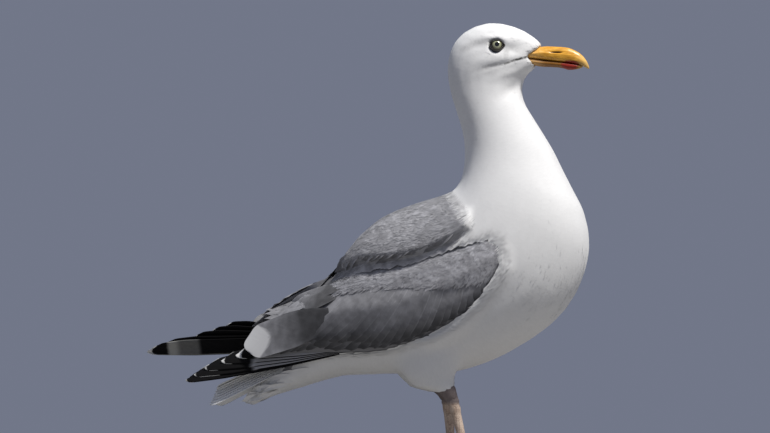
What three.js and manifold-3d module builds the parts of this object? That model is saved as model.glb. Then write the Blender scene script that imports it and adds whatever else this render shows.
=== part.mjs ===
// An adult herring gull at life size, standing tall and still on both feet.
//
// The bird faces +X, its left side is +Y, and +Z is up. While it is built, X is measured from a
// plumb line just behind the right heel and Z from the ground. The last lines move the whole bird
// so that its bounding box is centred over the origin, with the soles at Z = 0.
//
// Every flesh or feather part is a sweep: a capped cylinder whose vertices are moved on to rings of
// the wanted section. Neighbours are cut from each other with a thin gap, so nothing overlaps.

import * as THREE from "three";
import { mergeVertices } from "three/addons/utils/BufferGeometryUtils.js";
import Module from "manifold-3d";

const wasm = await Module();
wasm.setup();

// ---------------------------------------------------------------- driving dimensions, millimetres

const GAP = 0.3; // space left between neighbouring solids
const LEG_SPREAD = 27; // each leg's distance from the middle plane
const SOLE_TO_ANKLE = 7.5; // height of the ankle's centre
const HEEL_HEIGHT = 66; // height of the heel joint, where the feathers end
const HIND_TOE_HEIGHT = 4.4;
const TOE_LENGTHS = { inner: 37, middle: 47, outer: 43 };
const EYE_RADIUS = 8;
const EYE_PLACE = { x: 50.5, y: 20.4, z: 421 };

// Side outline and breadth of the body, from the tips of the under-tail feathers to the bill.
// back and belly are the outline's points [x, z] on one section, halfWidth is its greatest breadth,
// lean puts that breadth nearer the back (+) or the belly (-), and groove hollows the front.
const BODY_STATIONS = [
  { back: [-205, 71], belly: [-209, 65], halfWidth: 7, lean: 0, groove: 0 },
  { back: [-176, 97], belly: [-177, 75], halfWidth: 18, lean: 0, groove: 0 },
  { back: [-150, 126], belly: [-142, 85], halfWidth: 27, lean: 0, groove: 0 },
  { back: [-128, 165], belly: [-109, 94], halfWidth: 37, lean: 0, groove: 0 },
  { back: [-110, 205], belly: [-70, 95], halfWidth: 47, lean: 0, groove: 0 },
  { back: [-83, 241], belly: [-30, 95], halfWidth: 55, lean: 0, groove: 0 },
  { back: [-54, 258.5], belly: [8, 97], halfWidth: 59.5, lean: 0, groove: 0 },
  { back: [-25, 268], belly: [46, 110], halfWidth: 62, lean: 0, groove: 0 },
  { back: [-3, 274.5], belly: [88, 134], halfWidth: 62.5, lean: 0.03, groove: 0 },
  { back: [7, 281.5], belly: [115, 158], halfWidth: 61.5, lean: 0.05, groove: 0 },
  { back: [13, 292], belly: [132, 187], halfWidth: 58.5, lean: 0.05, groove: 0 },
  { back: [15, 303], belly: [140, 220], halfWidth: 54.5, lean: 0, groove: 0 },
  { back: [15.7, 315], belly: [136, 254], halfWidth: 48.5, lean: -0.04, groove: 0.02 },
  { back: [15, 328], belly: [120, 287], halfWidth: 41.5, lean: -0.05, groove: 0.06 },
  { back: [11.5, 344], belly: [105, 319], halfWidth: 35.5, lean: -0.04, groove: 0.09 },
  { back: [6, 361], belly: [89, 345], halfWidth: 31, lean: 0, groove: 0.1 },
  { back: [0, 382], belly: [74, 371], halfWidth: 28, lean: 0, groove: 0.07 },
  { back: [-2, 403], belly: [76, 390], halfWidth: 27.5, lean: 0, groove: 0.03 },
  { back: [3.5, 424], belly: [82, 397], halfWidth: 27.3, lean: -0.02, groove: 0 },
  { back: [18, 438.5], belly: [85.5, 400.5], halfWidth: 26, lean: 0, groove: 0 },
  { back: [40, 445.5], belly: [88, 402], halfWidth: 23, lean: 0.1, groove: 0 },
  { back: [61, 442.5], belly: [91, 402.8], halfWidth: 17.8, lean: 0.26, groove: 0 },
  { back: [78.5, 435], belly: [93.5, 403.4], halfWidth: 12, lean: 0.28, groove: 0 },
  { back: [92, 424.5], belly: [96, 404], halfWidth: 7.2, lean: 0.1, groove: 0 },
];
// The feathered edge around the bill, seen from the side: culmen, gape and chin.
const BILL_LINE = { culmen: [94.5, 421.8], gape: [77, 411.2], chin: [89.5, 402.6] };
const BODY_RINGS = 38;
const BODY_SIDES = 20;

// The cuts that part head from neck and neck from trunk: a point [x, z] and the slope of the cut.
const HEAD_CUT = { at: [37, 391], slope: -0.12 };
const NECK_CUT = { at: [14, 301], slope: -0.5 };

// A folded wing from wrist to tertial tips. Each station has the [y, z] of its upper and lower edges,
// the furthest that it bulges from the middle plane, and its thickness.
const WING_STATIONS = [
  { x: 65, upper: [53, 221], lower: [54, 207], bulge: 56.5, thick: 3 },
  { x: 62, upper: [51, 231], lower: [54, 198], bulge: 57.5, thick: 7 },
  { x: 53, upper: [48, 238], lower: [54, 184], bulge: 59, thick: 10 },
  { x: 39, upper: [45, 237], lower: [52, 165], bulge: 62, thick: 11 },
  { x: 16, upper: [44, 229], lower: [49, 146], bulge: 63, thick: 12 },
  { x: -18, upper: [42, 219], lower: [45, 128], bulge: 62.5, thick: 12 },
  { x: -52, upper: [37, 211], lower: [41, 115], bulge: 59.5, thick: 11 },
  { x: -83, upper: [25, 209], lower: [37, 113], bulge: 55, thick: 10 },
  { x: -107, upper: [12, 200], lower: [34, 112.5], bulge: 50.5, thick: 9 },
  { x: -124, upper: [4, 188], lower: [31, 112], bulge: 45.5, thick: 8.5 },
  { x: -146, upper: [3, 175], lower: [28, 112], bulge: 40, thick: 7.5 },
  { x: -168, upper: [3.5, 158], lower: [25, 112], bulge: 33.5, thick: 6.5 },
  { x: -186, upper: [5, 143], lower: [22, 112.5], bulge: 28.5, thick: 5.5 },
  { x: -196, upper: [7, 134.5], lower: [20, 114.5], bulge: 25.5, thick: 4.5 },
  { x: -203, upper: [10, 129], lower: [19, 118.5], bulge: 24, thick: 2.5 },
];
const WING_RINGS = 24;
const WING_SIDES = 12;

// The two wings differ: the left one is held a little further back and its tip higher.
// Primary feathers are listed from the longest, P10, inwards, by the place of each tip.
const WINGS = {
  right: {
    side: -1,
    stretch: 0,
    lift: 0,
    root: [-96, 36, 121],
    tips: [
      [-265.5, 20, 88.5],
      [-257, 19, 93.5],
      [-246, 18, 99.5],
      [-229, 18, 106],
      [-214, 18, 111],
    ],
  },
  left: {
    side: 1,
    stretch: 8,
    lift: 12,
    root: [-112, 31, 127],
    tips: [
      [-313, 12, 117.5],
      [-299, 12, 121.5],
      [-268, 13, 128.5],
      [-251, 14, 133.5],
      [-236, 15, 138.5],
    ],
  },
};
const PRIMARY = { width: 21, thick: 1.2, taper: 0.2, tilt: 52, step: 1 };

const TAIL = {
  pairs: 6,
  root: [-146, 121],
  tip: [-237.5, 74],
  feather: { width: 22, thick: 1.2, taper: 0.05 },
  spread: 4.3,
  drop: 2.1,
};

// Feathered part of each leg, from the belly down to the heel: x is relative to the heel's own x.
const THIGH_STATIONS = [
  { z: 136, x: -22, halfLength: 34, halfWidth: 19 },
  { z: 112, x: -22, halfLength: 33, halfWidth: 17 },
  { z: 98, x: -25, halfLength: 28.5, halfWidth: 14.5 },
  { z: 88, x: -23, halfLength: 25, halfWidth: 11.5 },
  { z: 81, x: -15, halfLength: 17.5, halfWidth: 8 },
  { z: 76, x: -4, halfLength: 8.5, halfWidth: 6.2 },
  { z: 68, x: -1, halfLength: 6.4, halfWidth: 5 },
];

// Bare shank, from heel (0) to ankle (1): half its depth and half its breadth.
const SHANK_STATIONS = [
  { at: 0, depth: 5.2, breadth: 4.2 },
  { at: 0.06, depth: 6.2, breadth: 4.8 },
  { at: 0.18, depth: 4.9, breadth: 3.7 },
  { at: 0.5, depth: 4.2, breadth: 3.1 },
  { at: 0.85, depth: 4.4, breadth: 3.4 },
  { at: 1, depth: 4.8, breadth: 4.2 },
];

// Where each leg's heel and ankle stand: the right leg is a short step ahead of the left.
const LEGS = {
  right: { side: -1, heelX: 7.5, ankleX: 22.5 },
  left: { side: 1, heelX: -6.5, ankleX: -2 },
};

// Bill sections along X: the upper and lower edge of each half and half its breadth.
const BILL_UPPER_STATIONS = [
  { x: 74, top: 413, bottom: 411.4, halfWidth: 9.6 },
  { x: 80, top: 416.5, bottom: 410.1, halfWidth: 10.6 },
  { x: 88, top: 420.2, bottom: 408.9, halfWidth: 9.7 },
  { x: 95, top: 421.7, bottom: 407.8, halfWidth: 8.5 },
  { x: 104, top: 421.4, bottom: 406.8, halfWidth: 7.2 },
  { x: 114, top: 420.8, bottom: 405.6, halfWidth: 6.2 },
  { x: 121, top: 419.5, bottom: 404.8, halfWidth: 5.5 },
  { x: 128, top: 416.4, bottom: 403.4, halfWidth: 4.7 },
  { x: 133.5, top: 412.3, bottom: 401.8, halfWidth: 3.6 },
  { x: 138, top: 406.4, bottom: 399.5, halfWidth: 2.2 },
  { x: 140.5, top: 400.6, bottom: 398.3, halfWidth: 0.8 },
];
const BILL_LOWER_STATIONS = [
  { x: 74, top: 410.9, bottom: 408.6, halfWidth: 9.2 },
  { x: 80, top: 409.7, bottom: 405.2, halfWidth: 10 },
  { x: 88, top: 408.5, bottom: 402.6, halfWidth: 8.9 },
  { x: 95, top: 407.4, bottom: 401.6, halfWidth: 7.4 },
  { x: 104, top: 406.4, bottom: 401.3, halfWidth: 6 },
  { x: 113, top: 405.3, bottom: 400.4, halfWidth: 5.2 },
  { x: 119.5, top: 404.5, bottom: 398.3, halfWidth: 4.6 },
  { x: 125, top: 403.6, bottom: 398.5, halfWidth: 4 },
  { x: 130, top: 402.4, bottom: 399.4, halfWidth: 2.9 },
  { x: 133.5, top: 401.4, bottom: 400.4, halfWidth: 1.4 },
];
const BILL_RINGS = 12;
const BILL_SIDES = 12;

// ---------------------------------------------------------------- shape helpers

const lerp = THREE.MathUtils.lerp;
const smooth = THREE.MathUtils.smoothstep;
const radians = THREE.MathUtils.degToRad;

// A closed geometry as a solid that can be joined and cut.
function solidFrom(geometry) {
  const bare = geometry.clone();
  bare.deleteAttribute("normal");
  bare.deleteAttribute("uv");
  const merged = mergeVertices(bare, 1e-4);
  return new wasm.Manifold(
    new wasm.Mesh({
      numProp: 3,
      vertProperties: merged.attributes.position.array,
      triVerts: new Uint32Array(merged.index.array),
    }),
  );
}

// A capped cylinder with its vertices moved: place(t, side, up, rim) gives each point, where t runs
// from 0 to 1 along the sweep, (side, up) is the unit circle and rim is 0 at a cap's middle.
function sweep(rings, sides, place) {
  const geometry = new THREE.CylinderGeometry(1, 1, 1, sides, rings);
  const points = geometry.attributes.position;
  for (let i = 0; i < points.count; i++) {
    const [x, y, z] = [points.getX(i), points.getY(i), points.getZ(i)];
    const rim = Math.hypot(x, z);
    const [side, up] = rim > 0.5 ? [x / rim, z / rim] : [0, 1];
    const moved = place(y + 0.5, side, up, rim);
    points.setXYZ(i, moved.x, moved.y, moved.z);
  }
  return solidFrom(geometry);
}

// A station list's own reader: each named pair of values runs on a smooth curve through the stations,
// and is read at t from 0 (first station) to 1 (last).
function reader(stations, picks) {
  const curves = Object.entries(picks).map(([name, pick]) => {
    const points = stations.map((station) => new THREE.Vector3(...pick(station), 0));
    return [name, new THREE.CatmullRomCurve3(points, false, "catmullrom", 0.5)];
  });
  return (t) => Object.fromEntries(curves.map(([name, curve]) => [name, curve.getPoint(t)]));
}

// A squarer or rounder circle: each coordinate is raised to a power and keeps its sign.
const power = (value, exponent) => Math.sign(value) * Math.abs(value) ** exponent;

// ---------------------------------------------------------------- head, neck and trunk

const readBody = reader(BODY_STATIONS, {
  back: (s) => s.back,
  belly: (s) => s.belly,
  form: (s) => [s.halfWidth, s.lean],
  front: (s) => [s.groove, 0],
});

// The whole body in one sweep, grown by a margin where it is used to cut a neighbour.
function bodyForm(margin) {
  const cache = new Map();
  return sweep(BODY_RINGS, BODY_SIDES, (t, side, up, rim) => {
    if (!cache.has(t)) cache.set(t, readBody(t));
    const { back, belly, form, front } = cache.get(t);
    const middle = back.clone().add(belly).multiplyScalar(0.5);
    const rise = back.clone().sub(belly).multiplyScalar(0.5);
    const grown = rise.clone().setLength(rise.length() + margin);
    const leaned = 1 + form.y * up;
    // Two low ridges with a hollow between them run down the front of the neck.
    const hollow = 1 - front.x * Math.exp(-(((side / 0.3) ** 2))) * (up < 0 ? 1 : 0);
    const ridge = 1 + 0.5 * front.x * Math.exp(-(((Math.abs(side) - 0.55) / 0.2) ** 2)) * (up < 0 ? 1 : 0);
    const height = rim * power(up, 0.95) * hollow * ridge;
    const breadth = rim * (form.x + margin) * power(side, 0.94) * leaned;
    return new THREE.Vector3(
      middle.x + grown.x * height,
      -breadth,
      middle.y + grown.y * height,
    );
  });
}

// Everything in front of the feathered edge around the bill, as a prism across the head.
function beforeBillLine() {
  const { culmen, gape, chin } = BILL_LINE;
  const outline = new THREE.Shape();
  outline.moveTo(culmen[0], culmen[1]);
  outline.lineTo(gape[0], gape[1]);
  outline.lineTo(chin[0], chin[1]);
  outline.lineTo(chin[0] + 10, chin[1] - 20);
  outline.lineTo(culmen[0] + 20, culmen[1]);
  outline.lineTo(culmen[0], culmen[1] + 20);
  const prism = new THREE.ExtrudeGeometry(outline, { depth: 80, bevelEnabled: false });
  return solidFrom(prism.translate(0, 0, -40).rotateX(Math.PI / 2));
}

// Keeps the part of a solid on one side of a sloping cut: side is 1 for above, -1 for below.
function keepSide(solid, cut, side) {
  const normal = new THREE.Vector3(-cut.slope, 0, 1).normalize().multiplyScalar(side);
  const distance = normal.x * cut.at[0] + normal.z * cut.at[1];
  return solid.trimByPlane(normal.toArray(), distance + GAP / 2);
}

// ---------------------------------------------------------------- wings

const readWing = reader(WING_STATIONS, {
  upper: (s) => s.upper,
  lower: (s) => s.lower,
  bulge: (s) => [s.bulge, s.thick],
  place: (s) => [s.x, 0],
});

// A folded wing as a curved lens that wraps the trunk's side.
function wingForm(wing, margin) {
  const cache = new Map();
  const point = (station, v) => {
    const swell = station.bulge.x - (station.upper.x + station.lower.x) / 2;
    return new THREE.Vector2(
      lerp(station.upper.x, station.lower.x, v) + swell * Math.sin(Math.PI * v) ** 0.85,
      lerp(station.upper.y, station.lower.y, v),
    );
  };
  const solid = sweep(WING_RINGS, WING_SIDES, (t, side, up, rim) => {
    if (!cache.has(t)) cache.set(t, readWing(t));
    const station = cache.get(t);
    const v = THREE.MathUtils.clamp((1 - up * rim) / 2, 0.02, 0.98);
    const here = point(station, v);
    const slope = point(station, v + 0.02).sub(point(station, v - 0.02)).normalize();
    const half = (station.bulge.y / 2 + margin) * rim * power(side, 0.6);
    const reach = -margin * up * rim;
    const rear = smooth(-station.place.x, 70, 190);
    const end = t < 0.01 ? margin : t > 0.99 ? -margin : 0;
    return new THREE.Vector3(
      station.place.x - wing.stretch * rear + end,
      here.x - slope.y * half + slope.x * reach,
      here.y + slope.x * half + slope.y * reach + wing.lift * rear,
    );
  });
  const facing = wing.side > 0 ? solid : solid.mirror([0, 1, 0]);
  return facing.trimByPlane([0, wing.side, 0], GAP);
}

// ---------------------------------------------------------------- flight and tail feathers

// A flat feather blade of a given length: it lies along -X from its root, its width along Y.
// Its tip narrows over a share of its length, taper.
function bladeForm(length, { width, thick, taper }) {
  const near = width * 0.36; // width of the narrow vane
  const far = width - near;
  const outline = new THREE.Shape();
  outline.moveTo(0, near * 0.7);
  outline.lineTo(length * 0.4, near);
  outline.lineTo(length * (1 - taper * 1.2), near * 0.85);
  outline.lineTo(length, 0);
  outline.lineTo(length * (1 - taper * 0.1), -far * 0.45);
  outline.lineTo(length * (1 - taper * 0.4), -far * 0.85);
  outline.lineTo(length * (1 - taper), -far);
  outline.lineTo(0, -far * 0.7);
  outline.closePath();
  const blade = new THREE.ExtrudeGeometry(outline, { depth: thick, bevelEnabled: false });
  return blade.translate(0, 0, -thick / 2);
}

// A blade from root to tip whose broad vane points along a given direction.
function placedBlade(root, tip, broadSide, size) {
  const along = tip.clone().sub(root);
  const length = along.length();
  along.normalize();
  const across = broadSide.clone().addScaledVector(along, -broadSide.dot(along)).normalize().negate();
  const normal = along.clone().cross(across);
  const matrix = new THREE.Matrix4().makeBasis(along, across, normal).setPosition(root);
  return solidFrom(bladeForm(length, size).applyMatrix4(matrix));
}

// The primaries that project behind a folded wing, in one stack with P10 lowest.
function primaryStack(wing) {
  const tilt = radians(PRIMARY.tilt);
  const broadSide = new THREE.Vector3(0, -wing.side * Math.cos(tilt), Math.sin(tilt));
  const outward = new THREE.Vector3(0, wing.side * Math.sin(tilt), Math.cos(tilt));
  const blades = wing.tips.map(([x, y, z], i) => {
    const shift = outward.clone().multiplyScalar(i * PRIMARY.step);
    const tip = new THREE.Vector3(x, wing.side * y, z).add(shift);
    const root = new THREE.Vector3(wing.root[0], wing.side * wing.root[1], wing.root[2]).add(shift);
    return placedBlade(root, tip, broadSide, PRIMARY);
  });
  return wasm.Manifold.union(blades);
}

// Twelve tail feathers in a shallow roof, the middle pair on top.
function tailFan() {
  const blades = [];
  for (let pair = 0; pair < TAIL.pairs; pair++) {
    for (const side of [-1, 1]) {
      const y = side * (2 + TAIL.spread * pair);
      const z = -TAIL.drop * pair - (side > 0 ? 0.4 : 0);
      const root = new THREE.Vector3(TAIL.root[0], y * 0.55, TAIL.root[1] + z * 0.6);
      const tip = new THREE.Vector3(TAIL.tip[0] - pair * 0.9, y, TAIL.tip[1] + z);
      const roll = radians(6 + 5 * pair);
      const inner = new THREE.Vector3(0, -side * Math.cos(roll), Math.sin(roll));
      blades.push(placedBlade(root, tip, inner, TAIL.feather));
    }
  }
  return wasm.Manifold.union(blades);
}

// ---------------------------------------------------------------- legs and feet

const readThigh = reader(THIGH_STATIONS, {
  place: (s) => [s.x, s.z],
  size: (s) => [s.halfLength, s.halfWidth],
});

// The feathered thigh, which stands upright over its heel.
function thighForm(leg) {
  return sweep(12, 16, (t, side, up, rim) => {
    const { place, size } = readThigh(1 - t);
    return new THREE.Vector3(
      leg.heelX + place.x + size.x * up * rim,
      leg.side * LEG_SPREAD - size.y * side * rim * -1,
      place.y,
    );
  });
}

const heelOf = (leg) => new THREE.Vector3(leg.heelX, leg.side * LEG_SPREAD, HEEL_HEIGHT + 1.5);
const ankleOf = (leg) => new THREE.Vector3(leg.ankleX, leg.side * LEG_SPREAD, SOLE_TO_ANKLE - 2);

// The bare shank between heel and ankle, deeper than it is broad.
function shankForm(leg) {
  const [heel, ankle] = [heelOf(leg), ankleOf(leg)];
  return sweep(10, 12, (t, side, up, rim) => {
    const at = 1 - t;
    const next = SHANK_STATIONS.findIndex((s) => s.at >= at);
    const [a, b] = [SHANK_STATIONS[Math.max(next - 1, 0)], SHANK_STATIONS[Math.max(next, 0)]];
    const mix = b.at > a.at ? (at - a.at) / (b.at - a.at) : 0;
    const centre = heel.clone().lerp(ankle, at);
    centre.x += lerp(a.depth, b.depth, mix) * up * rim;
    centre.y += lerp(a.breadth, b.breadth, mix) * side * rim;
    return centre;
  });
}

// A toe of round joints, laid out along a heading from the ankle. A negative dip points it down.
function toeForm(start, { heading, length, thickness, dip }) {
  const joints = 3;
  const profile = [new THREE.Vector2(0, 0)];
  for (let i = 0; i <= joints * 2; i++) {
    const along = i / (joints * 2);
    const pad = 1 + 0.1 * Math.cos(along * joints * 2 * Math.PI);
    profile.push(new THREE.Vector2(thickness * lerp(1, 0.68, along) * pad, length * along));
  }
  profile.push(new THREE.Vector2(0, length + thickness * 0.5));
  const toe = new THREE.LatheGeometry(profile, 7);
  toe.rotateZ(-Math.PI / 2);
  toe.rotateY(dip);
  toe.rotateZ(heading);
  return solidFrom(toe.translate(start.x, start.y, start.z));
}

// A web between two toes, with its free edge drawn in towards the ankle.
function webForm(start, first, second, thick) {
  const tipOf = (toe, share) => [
    toe.length * share * Math.cos(toe.heading),
    toe.length * share * Math.sin(toe.heading),
  ];
  const [ax, ay] = tipOf(first, 0.97);
  const [bx, by] = tipOf(second, 0.97);
  const pull = 0.8;
  const web = new THREE.Shape();
  web.moveTo(-1, 0);
  web.lineTo(ax, ay);
  web.quadraticCurveTo(((ax + bx) / 2) * pull, ((ay + by) / 2) * pull, bx, by);
  web.closePath();
  const plate = new THREE.ExtrudeGeometry(web, { depth: thick, bevelEnabled: false, curveSegments: 4 });
  return solidFrom(plate.translate(start.x, start.y, -0.1));
}

// A claw is a short horn that bends down from its toe's end.
function clawForm(root, heading, length, thickness) {
  return sweep(4, 6, (t, side, up, rim) => {
    const radius = thickness * (1 - t) ** 0.7 * rim + 0.12 * rim;
    const along = length * Math.sin(t * 1.15);
    const fall = length * 0.42 * (1 - Math.cos(t * 1.15));
    return new THREE.Vector3(
      root.x + along * Math.cos(heading) + side * radius * Math.sin(heading),
      root.y + along * Math.sin(heading) - side * radius * Math.cos(heading),
      root.z - fall + up * radius,
    );
  });
}

function toesOf(leg) {
  const outward = leg.side;
  return {
    inner: { heading: -outward * radians(25), length: TOE_LENGTHS.inner, thickness: 3, dip: 0 },
    middle: { heading: outward * radians(2), length: TOE_LENGTHS.middle, thickness: 3.3, dip: 0 },
    outer: { heading: outward * radians(27), length: TOE_LENGTHS.outer, thickness: 3, dip: 0 },
    hind: { heading: Math.PI + outward * radians(10), length: 9.5, thickness: 2.2, dip: radians(17) },
  };
}

// The foot: three webbed toes and a small raised hind toe, cut flat where they press the ground.
function footForm(leg) {
  const ankle = ankleOf(leg);
  const toes = toesOf(leg);
  const start = new THREE.Vector3(ankle.x, ankle.y, 2.6);
  const hindStart = new THREE.Vector3(ankle.x, ankle.y, HIND_TOE_HEIGHT);
  const knuckle = new THREE.SphereGeometry(4.6, 8, 6).scale(1.15, 1, 0.8).translate(ankle.x, ankle.y, 3.6);
  const pieces = [
    solidFrom(knuckle),
    ...["inner", "middle", "outer"].map((name) => toeForm(start, toes[name])),
    toeForm(hindStart, toes.hind),
    webForm(start, toes.inner, toes.middle, 1.6),
    webForm(start, toes.outer, toes.middle, 1.6),
  ];
  return wasm.Manifold.union(pieces).trimByPlane([0, 0, 1], 0);
}

// ---------------------------------------------------------------- bill and eyes

// One half of the bill: rounded on its outer side and flat where the two halves meet.
function billHalf(stations, margin, roundTop) {
  const read = reader(stations, {
    place: (s) => [s.x, s.halfWidth],
    edges: (s) => [s.top, s.bottom],
  });
  return sweep(BILL_RINGS, BILL_SIDES, (t, side, up, rim) => {
    const { place, edges } = read(t);
    const middle = (edges.x + edges.y) / 2;
    const half = (edges.x - edges.y) / 2 + margin;
    const outer = roundTop ? Math.max(up, 0) : Math.max(-up, 0);
    const pinch = 1 - 0.3 * outer;
    return new THREE.Vector3(
      place.x + (t < 0.01 ? -margin : t > 0.99 ? margin : 0),
      -(place.y + margin) * power(side, 0.75) * pinch * rim,
      middle + half * power(up, 0.85) * rim,
    );
  });
}

function eyeForm(side, margin) {
  const ball = new THREE.SphereGeometry(EYE_RADIUS + margin, 12, 10);
  return solidFrom(ball.translate(EYE_PLACE.x, side * EYE_PLACE.y, EYE_PLACE.z));
}

// ---------------------------------------------------------------- materials

function finish(color, roughness) {
  return new THREE.MeshStandardMaterial({ color, roughness, metalness: 0 });
}

const MATERIALS = {
  whiteFeather: finish(0xeeeeec, 0.85),
  greyFeather: finish(0x8b8c95, 0.8),
  blackFeather: finish(0x141416, 0.6),
  horn: finish(0xd9a036, 0.4),
  eye: finish(0xd8d39a, 0.1),
  legSkin: finish(0xc9a08c, 0.6),
  claw: finish(0x2a2422, 0.5),
};

// A solid as a named mesh of the finished bird.
function named(name, solid, material) {
  const { numProp, vertProperties, triVerts } = solid.getMesh();
  const count = vertProperties.length / numProp;
  const positions = new Float32Array(count * 3);
  for (let i = 0; i < count; i++) positions.set(vertProperties.subarray(i * numProp, i * numProp + 3), i * 3);
  const geometry = new THREE.BufferGeometry();
  geometry.setAttribute("position", new THREE.BufferAttribute(positions, 3));
  geometry.setIndex(new THREE.BufferAttribute(new Uint32Array(triVerts), 1));
  geometry.computeVertexNormals();
  const mesh = new THREE.Mesh(geometry, material);
  mesh.name = name;
  return mesh;
}

// The largest body of a solid: cuts can leave slivers beside it, which no real part has.
function mainBody(solid) {
  return solid.decompose().sort((a, b) => b.volume() - a.volume())[0];
}

// ---------------------------------------------------------------- assembly

const bird = new THREE.Group();

const grownWings = Object.values(WINGS).map((wing) => wingForm(wing, 2 * GAP));
const grownBody = bodyForm(GAP);
const grownBill = [billHalf(BILL_UPPER_STATIONS, GAP, true), billHalf(BILL_LOWER_STATIONS, GAP, false)];
const grownEyes = [eyeForm(-1, GAP), eyeForm(1, GAP)];

const body = bodyForm(0);
const trunk = keepSide(body, NECK_CUT, -1).subtract(wasm.Manifold.union(grownWings));
const neck = keepSide(keepSide(body, NECK_CUT, 1), HEAD_CUT, -1);
const headCuts = wasm.Manifold.union([...grownBill, ...grownEyes, beforeBillLine()]);
const head = keepSide(body, HEAD_CUT, 1).subtract(headCuts);
bird.add(named("trunk", mainBody(trunk), MATERIALS.whiteFeather));
bird.add(named("neck", mainBody(neck), MATERIALS.whiteFeather));
bird.add(named("head", mainBody(head), MATERIALS.whiteFeather));

bird.add(named("bill_upper", billHalf(BILL_UPPER_STATIONS, 0, true), MATERIALS.horn));
bird.add(named("bill_lower", billHalf(BILL_LOWER_STATIONS, 0, false), MATERIALS.horn));
bird.add(named("eye_right", eyeForm(-1, 0), MATERIALS.eye));
bird.add(named("eye_left", eyeForm(1, 0), MATERIALS.eye));

const coveredByWings = wasm.Manifold.union([grownBody, ...grownWings]);
for (const [name, wing] of Object.entries(WINGS)) {
  bird.add(named(`wing_${name}`, mainBody(wingForm(wing, 0)), MATERIALS.greyFeather));
}
const tail = mainBody(tailFan().subtract(coveredByWings));
bird.add(named("tail", tail, MATERIALS.whiteFeather));
const stacks = Object.fromEntries(
  Object.entries(WINGS).map(([name, wing]) => [
    name,
    mainBody(primaryStack(wing).subtract(coveredByWings).subtract(tail).trimByPlane([0, wing.side, 0], GAP)),
  ]),
);
for (const [name, stack] of Object.entries(stacks)) {
  bird.add(named(`primaries_${name}`, stack, MATERIALS.blackFeather));
}

for (const [name, leg] of Object.entries(LEGS)) {
  const foot = footForm(leg);
  const aboveHeel = HEEL_HEIGHT + 2 * GAP;
  const thigh = thighForm(leg).subtract(grownBody).trimByPlane([0, 0, 1], aboveHeel);
  const shank = shankForm(leg)
    .trimByPlane([0, 0, -1], -(aboveHeel - GAP))
    .trimByPlane([0, 0, 1], SOLE_TO_ANKLE + GAP);
  bird.add(named(`thigh_${name}`, mainBody(thigh), MATERIALS.whiteFeather));
  bird.add(named(`shank_${name}`, mainBody(shank), MATERIALS.legSkin));
  bird.add(named(`foot_${name}`, mainBody(foot.trimByPlane([0, 0, -1], -SOLE_TO_ANKLE)), MATERIALS.legSkin));
  const ankle = ankleOf(leg);
  for (const [toeName, toe] of Object.entries(toesOf(leg))) {
    const isHind = toeName === "hind";
    const reach = toe.length + toe.thickness * 0.5 + GAP;
    const root = new THREE.Vector3(
      ankle.x + reach * Math.cos(toe.dip) * Math.cos(toe.heading),
      ankle.y + reach * Math.cos(toe.dip) * Math.sin(toe.heading),
      isHind ? HIND_TOE_HEIGHT - reach * Math.sin(toe.dip) : 3.1,
    );
    const claw = clawForm(root, toe.heading, isHind ? 4 : 7, isHind ? 1.2 : 1.5);
    bird.add(named(`claw_${name}_${toeName}`, claw.trimByPlane([0, 0, 1], 0), MATERIALS.claw));
  }
}

const bounds = new THREE.Box3().setFromObject(bird);
const centre = bounds.getCenter(new THREE.Vector3());
bird.position.set(-centre.x, -centre.y, -bounds.min.z);

export default bird;
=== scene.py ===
import math
import bmesh
import bpy
import numpy as np
from mathutils import Matrix, Vector
from mathutils.bvhtree import BVHTree


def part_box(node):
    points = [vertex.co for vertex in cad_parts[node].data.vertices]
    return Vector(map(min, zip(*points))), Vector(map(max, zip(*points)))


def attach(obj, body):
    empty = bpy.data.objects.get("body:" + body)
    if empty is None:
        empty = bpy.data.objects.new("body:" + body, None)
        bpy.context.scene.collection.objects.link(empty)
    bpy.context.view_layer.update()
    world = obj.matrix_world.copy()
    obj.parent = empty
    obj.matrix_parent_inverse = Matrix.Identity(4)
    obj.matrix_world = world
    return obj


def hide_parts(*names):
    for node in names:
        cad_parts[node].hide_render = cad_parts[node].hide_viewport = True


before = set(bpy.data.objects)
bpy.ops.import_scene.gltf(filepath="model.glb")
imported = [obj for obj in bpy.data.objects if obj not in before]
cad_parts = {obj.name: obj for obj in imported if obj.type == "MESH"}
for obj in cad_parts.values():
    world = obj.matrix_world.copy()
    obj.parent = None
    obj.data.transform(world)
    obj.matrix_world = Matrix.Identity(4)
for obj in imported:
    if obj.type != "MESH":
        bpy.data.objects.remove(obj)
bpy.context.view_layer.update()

# ------------------------------------------------------------------ camera, floor and light
# The bird stands on a pale studio floor and is seen from its right side, a little from the front,
# by a long lens held low. One large soft light stands high on the camera's side, before the bird.

VIEW_AZIMUTH = math.radians(10)
VIEW_REACH = 4.5
VIEW_WIDTH = 0.77  # how much the view takes in at the bird
LENS_HEIGHT = 0.084
aim = Vector((0.0223, -0.0113, 0.2525))

camera = bpy.data.objects.new("camera", bpy.data.cameras.new("camera"))
rise = math.asin((LENS_HEIGHT - aim.z) / VIEW_REACH)
outward = Vector((math.sin(VIEW_AZIMUTH) * math.cos(rise), -math.cos(VIEW_AZIMUTH) * math.cos(rise), math.sin(rise)))
camera.location = aim + outward * VIEW_REACH
camera.rotation_euler = (-outward).to_track_quat("-Z", "Y").to_euler()
camera.data.sensor_width = 36
camera.data.lens = 36 * VIEW_REACH / VIEW_WIDTH
camera.data.clip_end = 50
bpy.context.scene.collection.objects.link(camera)
bpy.context.scene.camera = camera
bpy.context.scene.view_settings.view_transform = "Standard"


def plain_material(name, color, roughness):
    material = bpy.data.materials.new(name)
    material.use_nodes = True
    shader = material.node_tree.nodes["Principled BSDF"]
    shader.inputs["Base Color"].default_value = (*color, 1)
    shader.inputs["Roughness"].default_value = roughness
    return material


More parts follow.
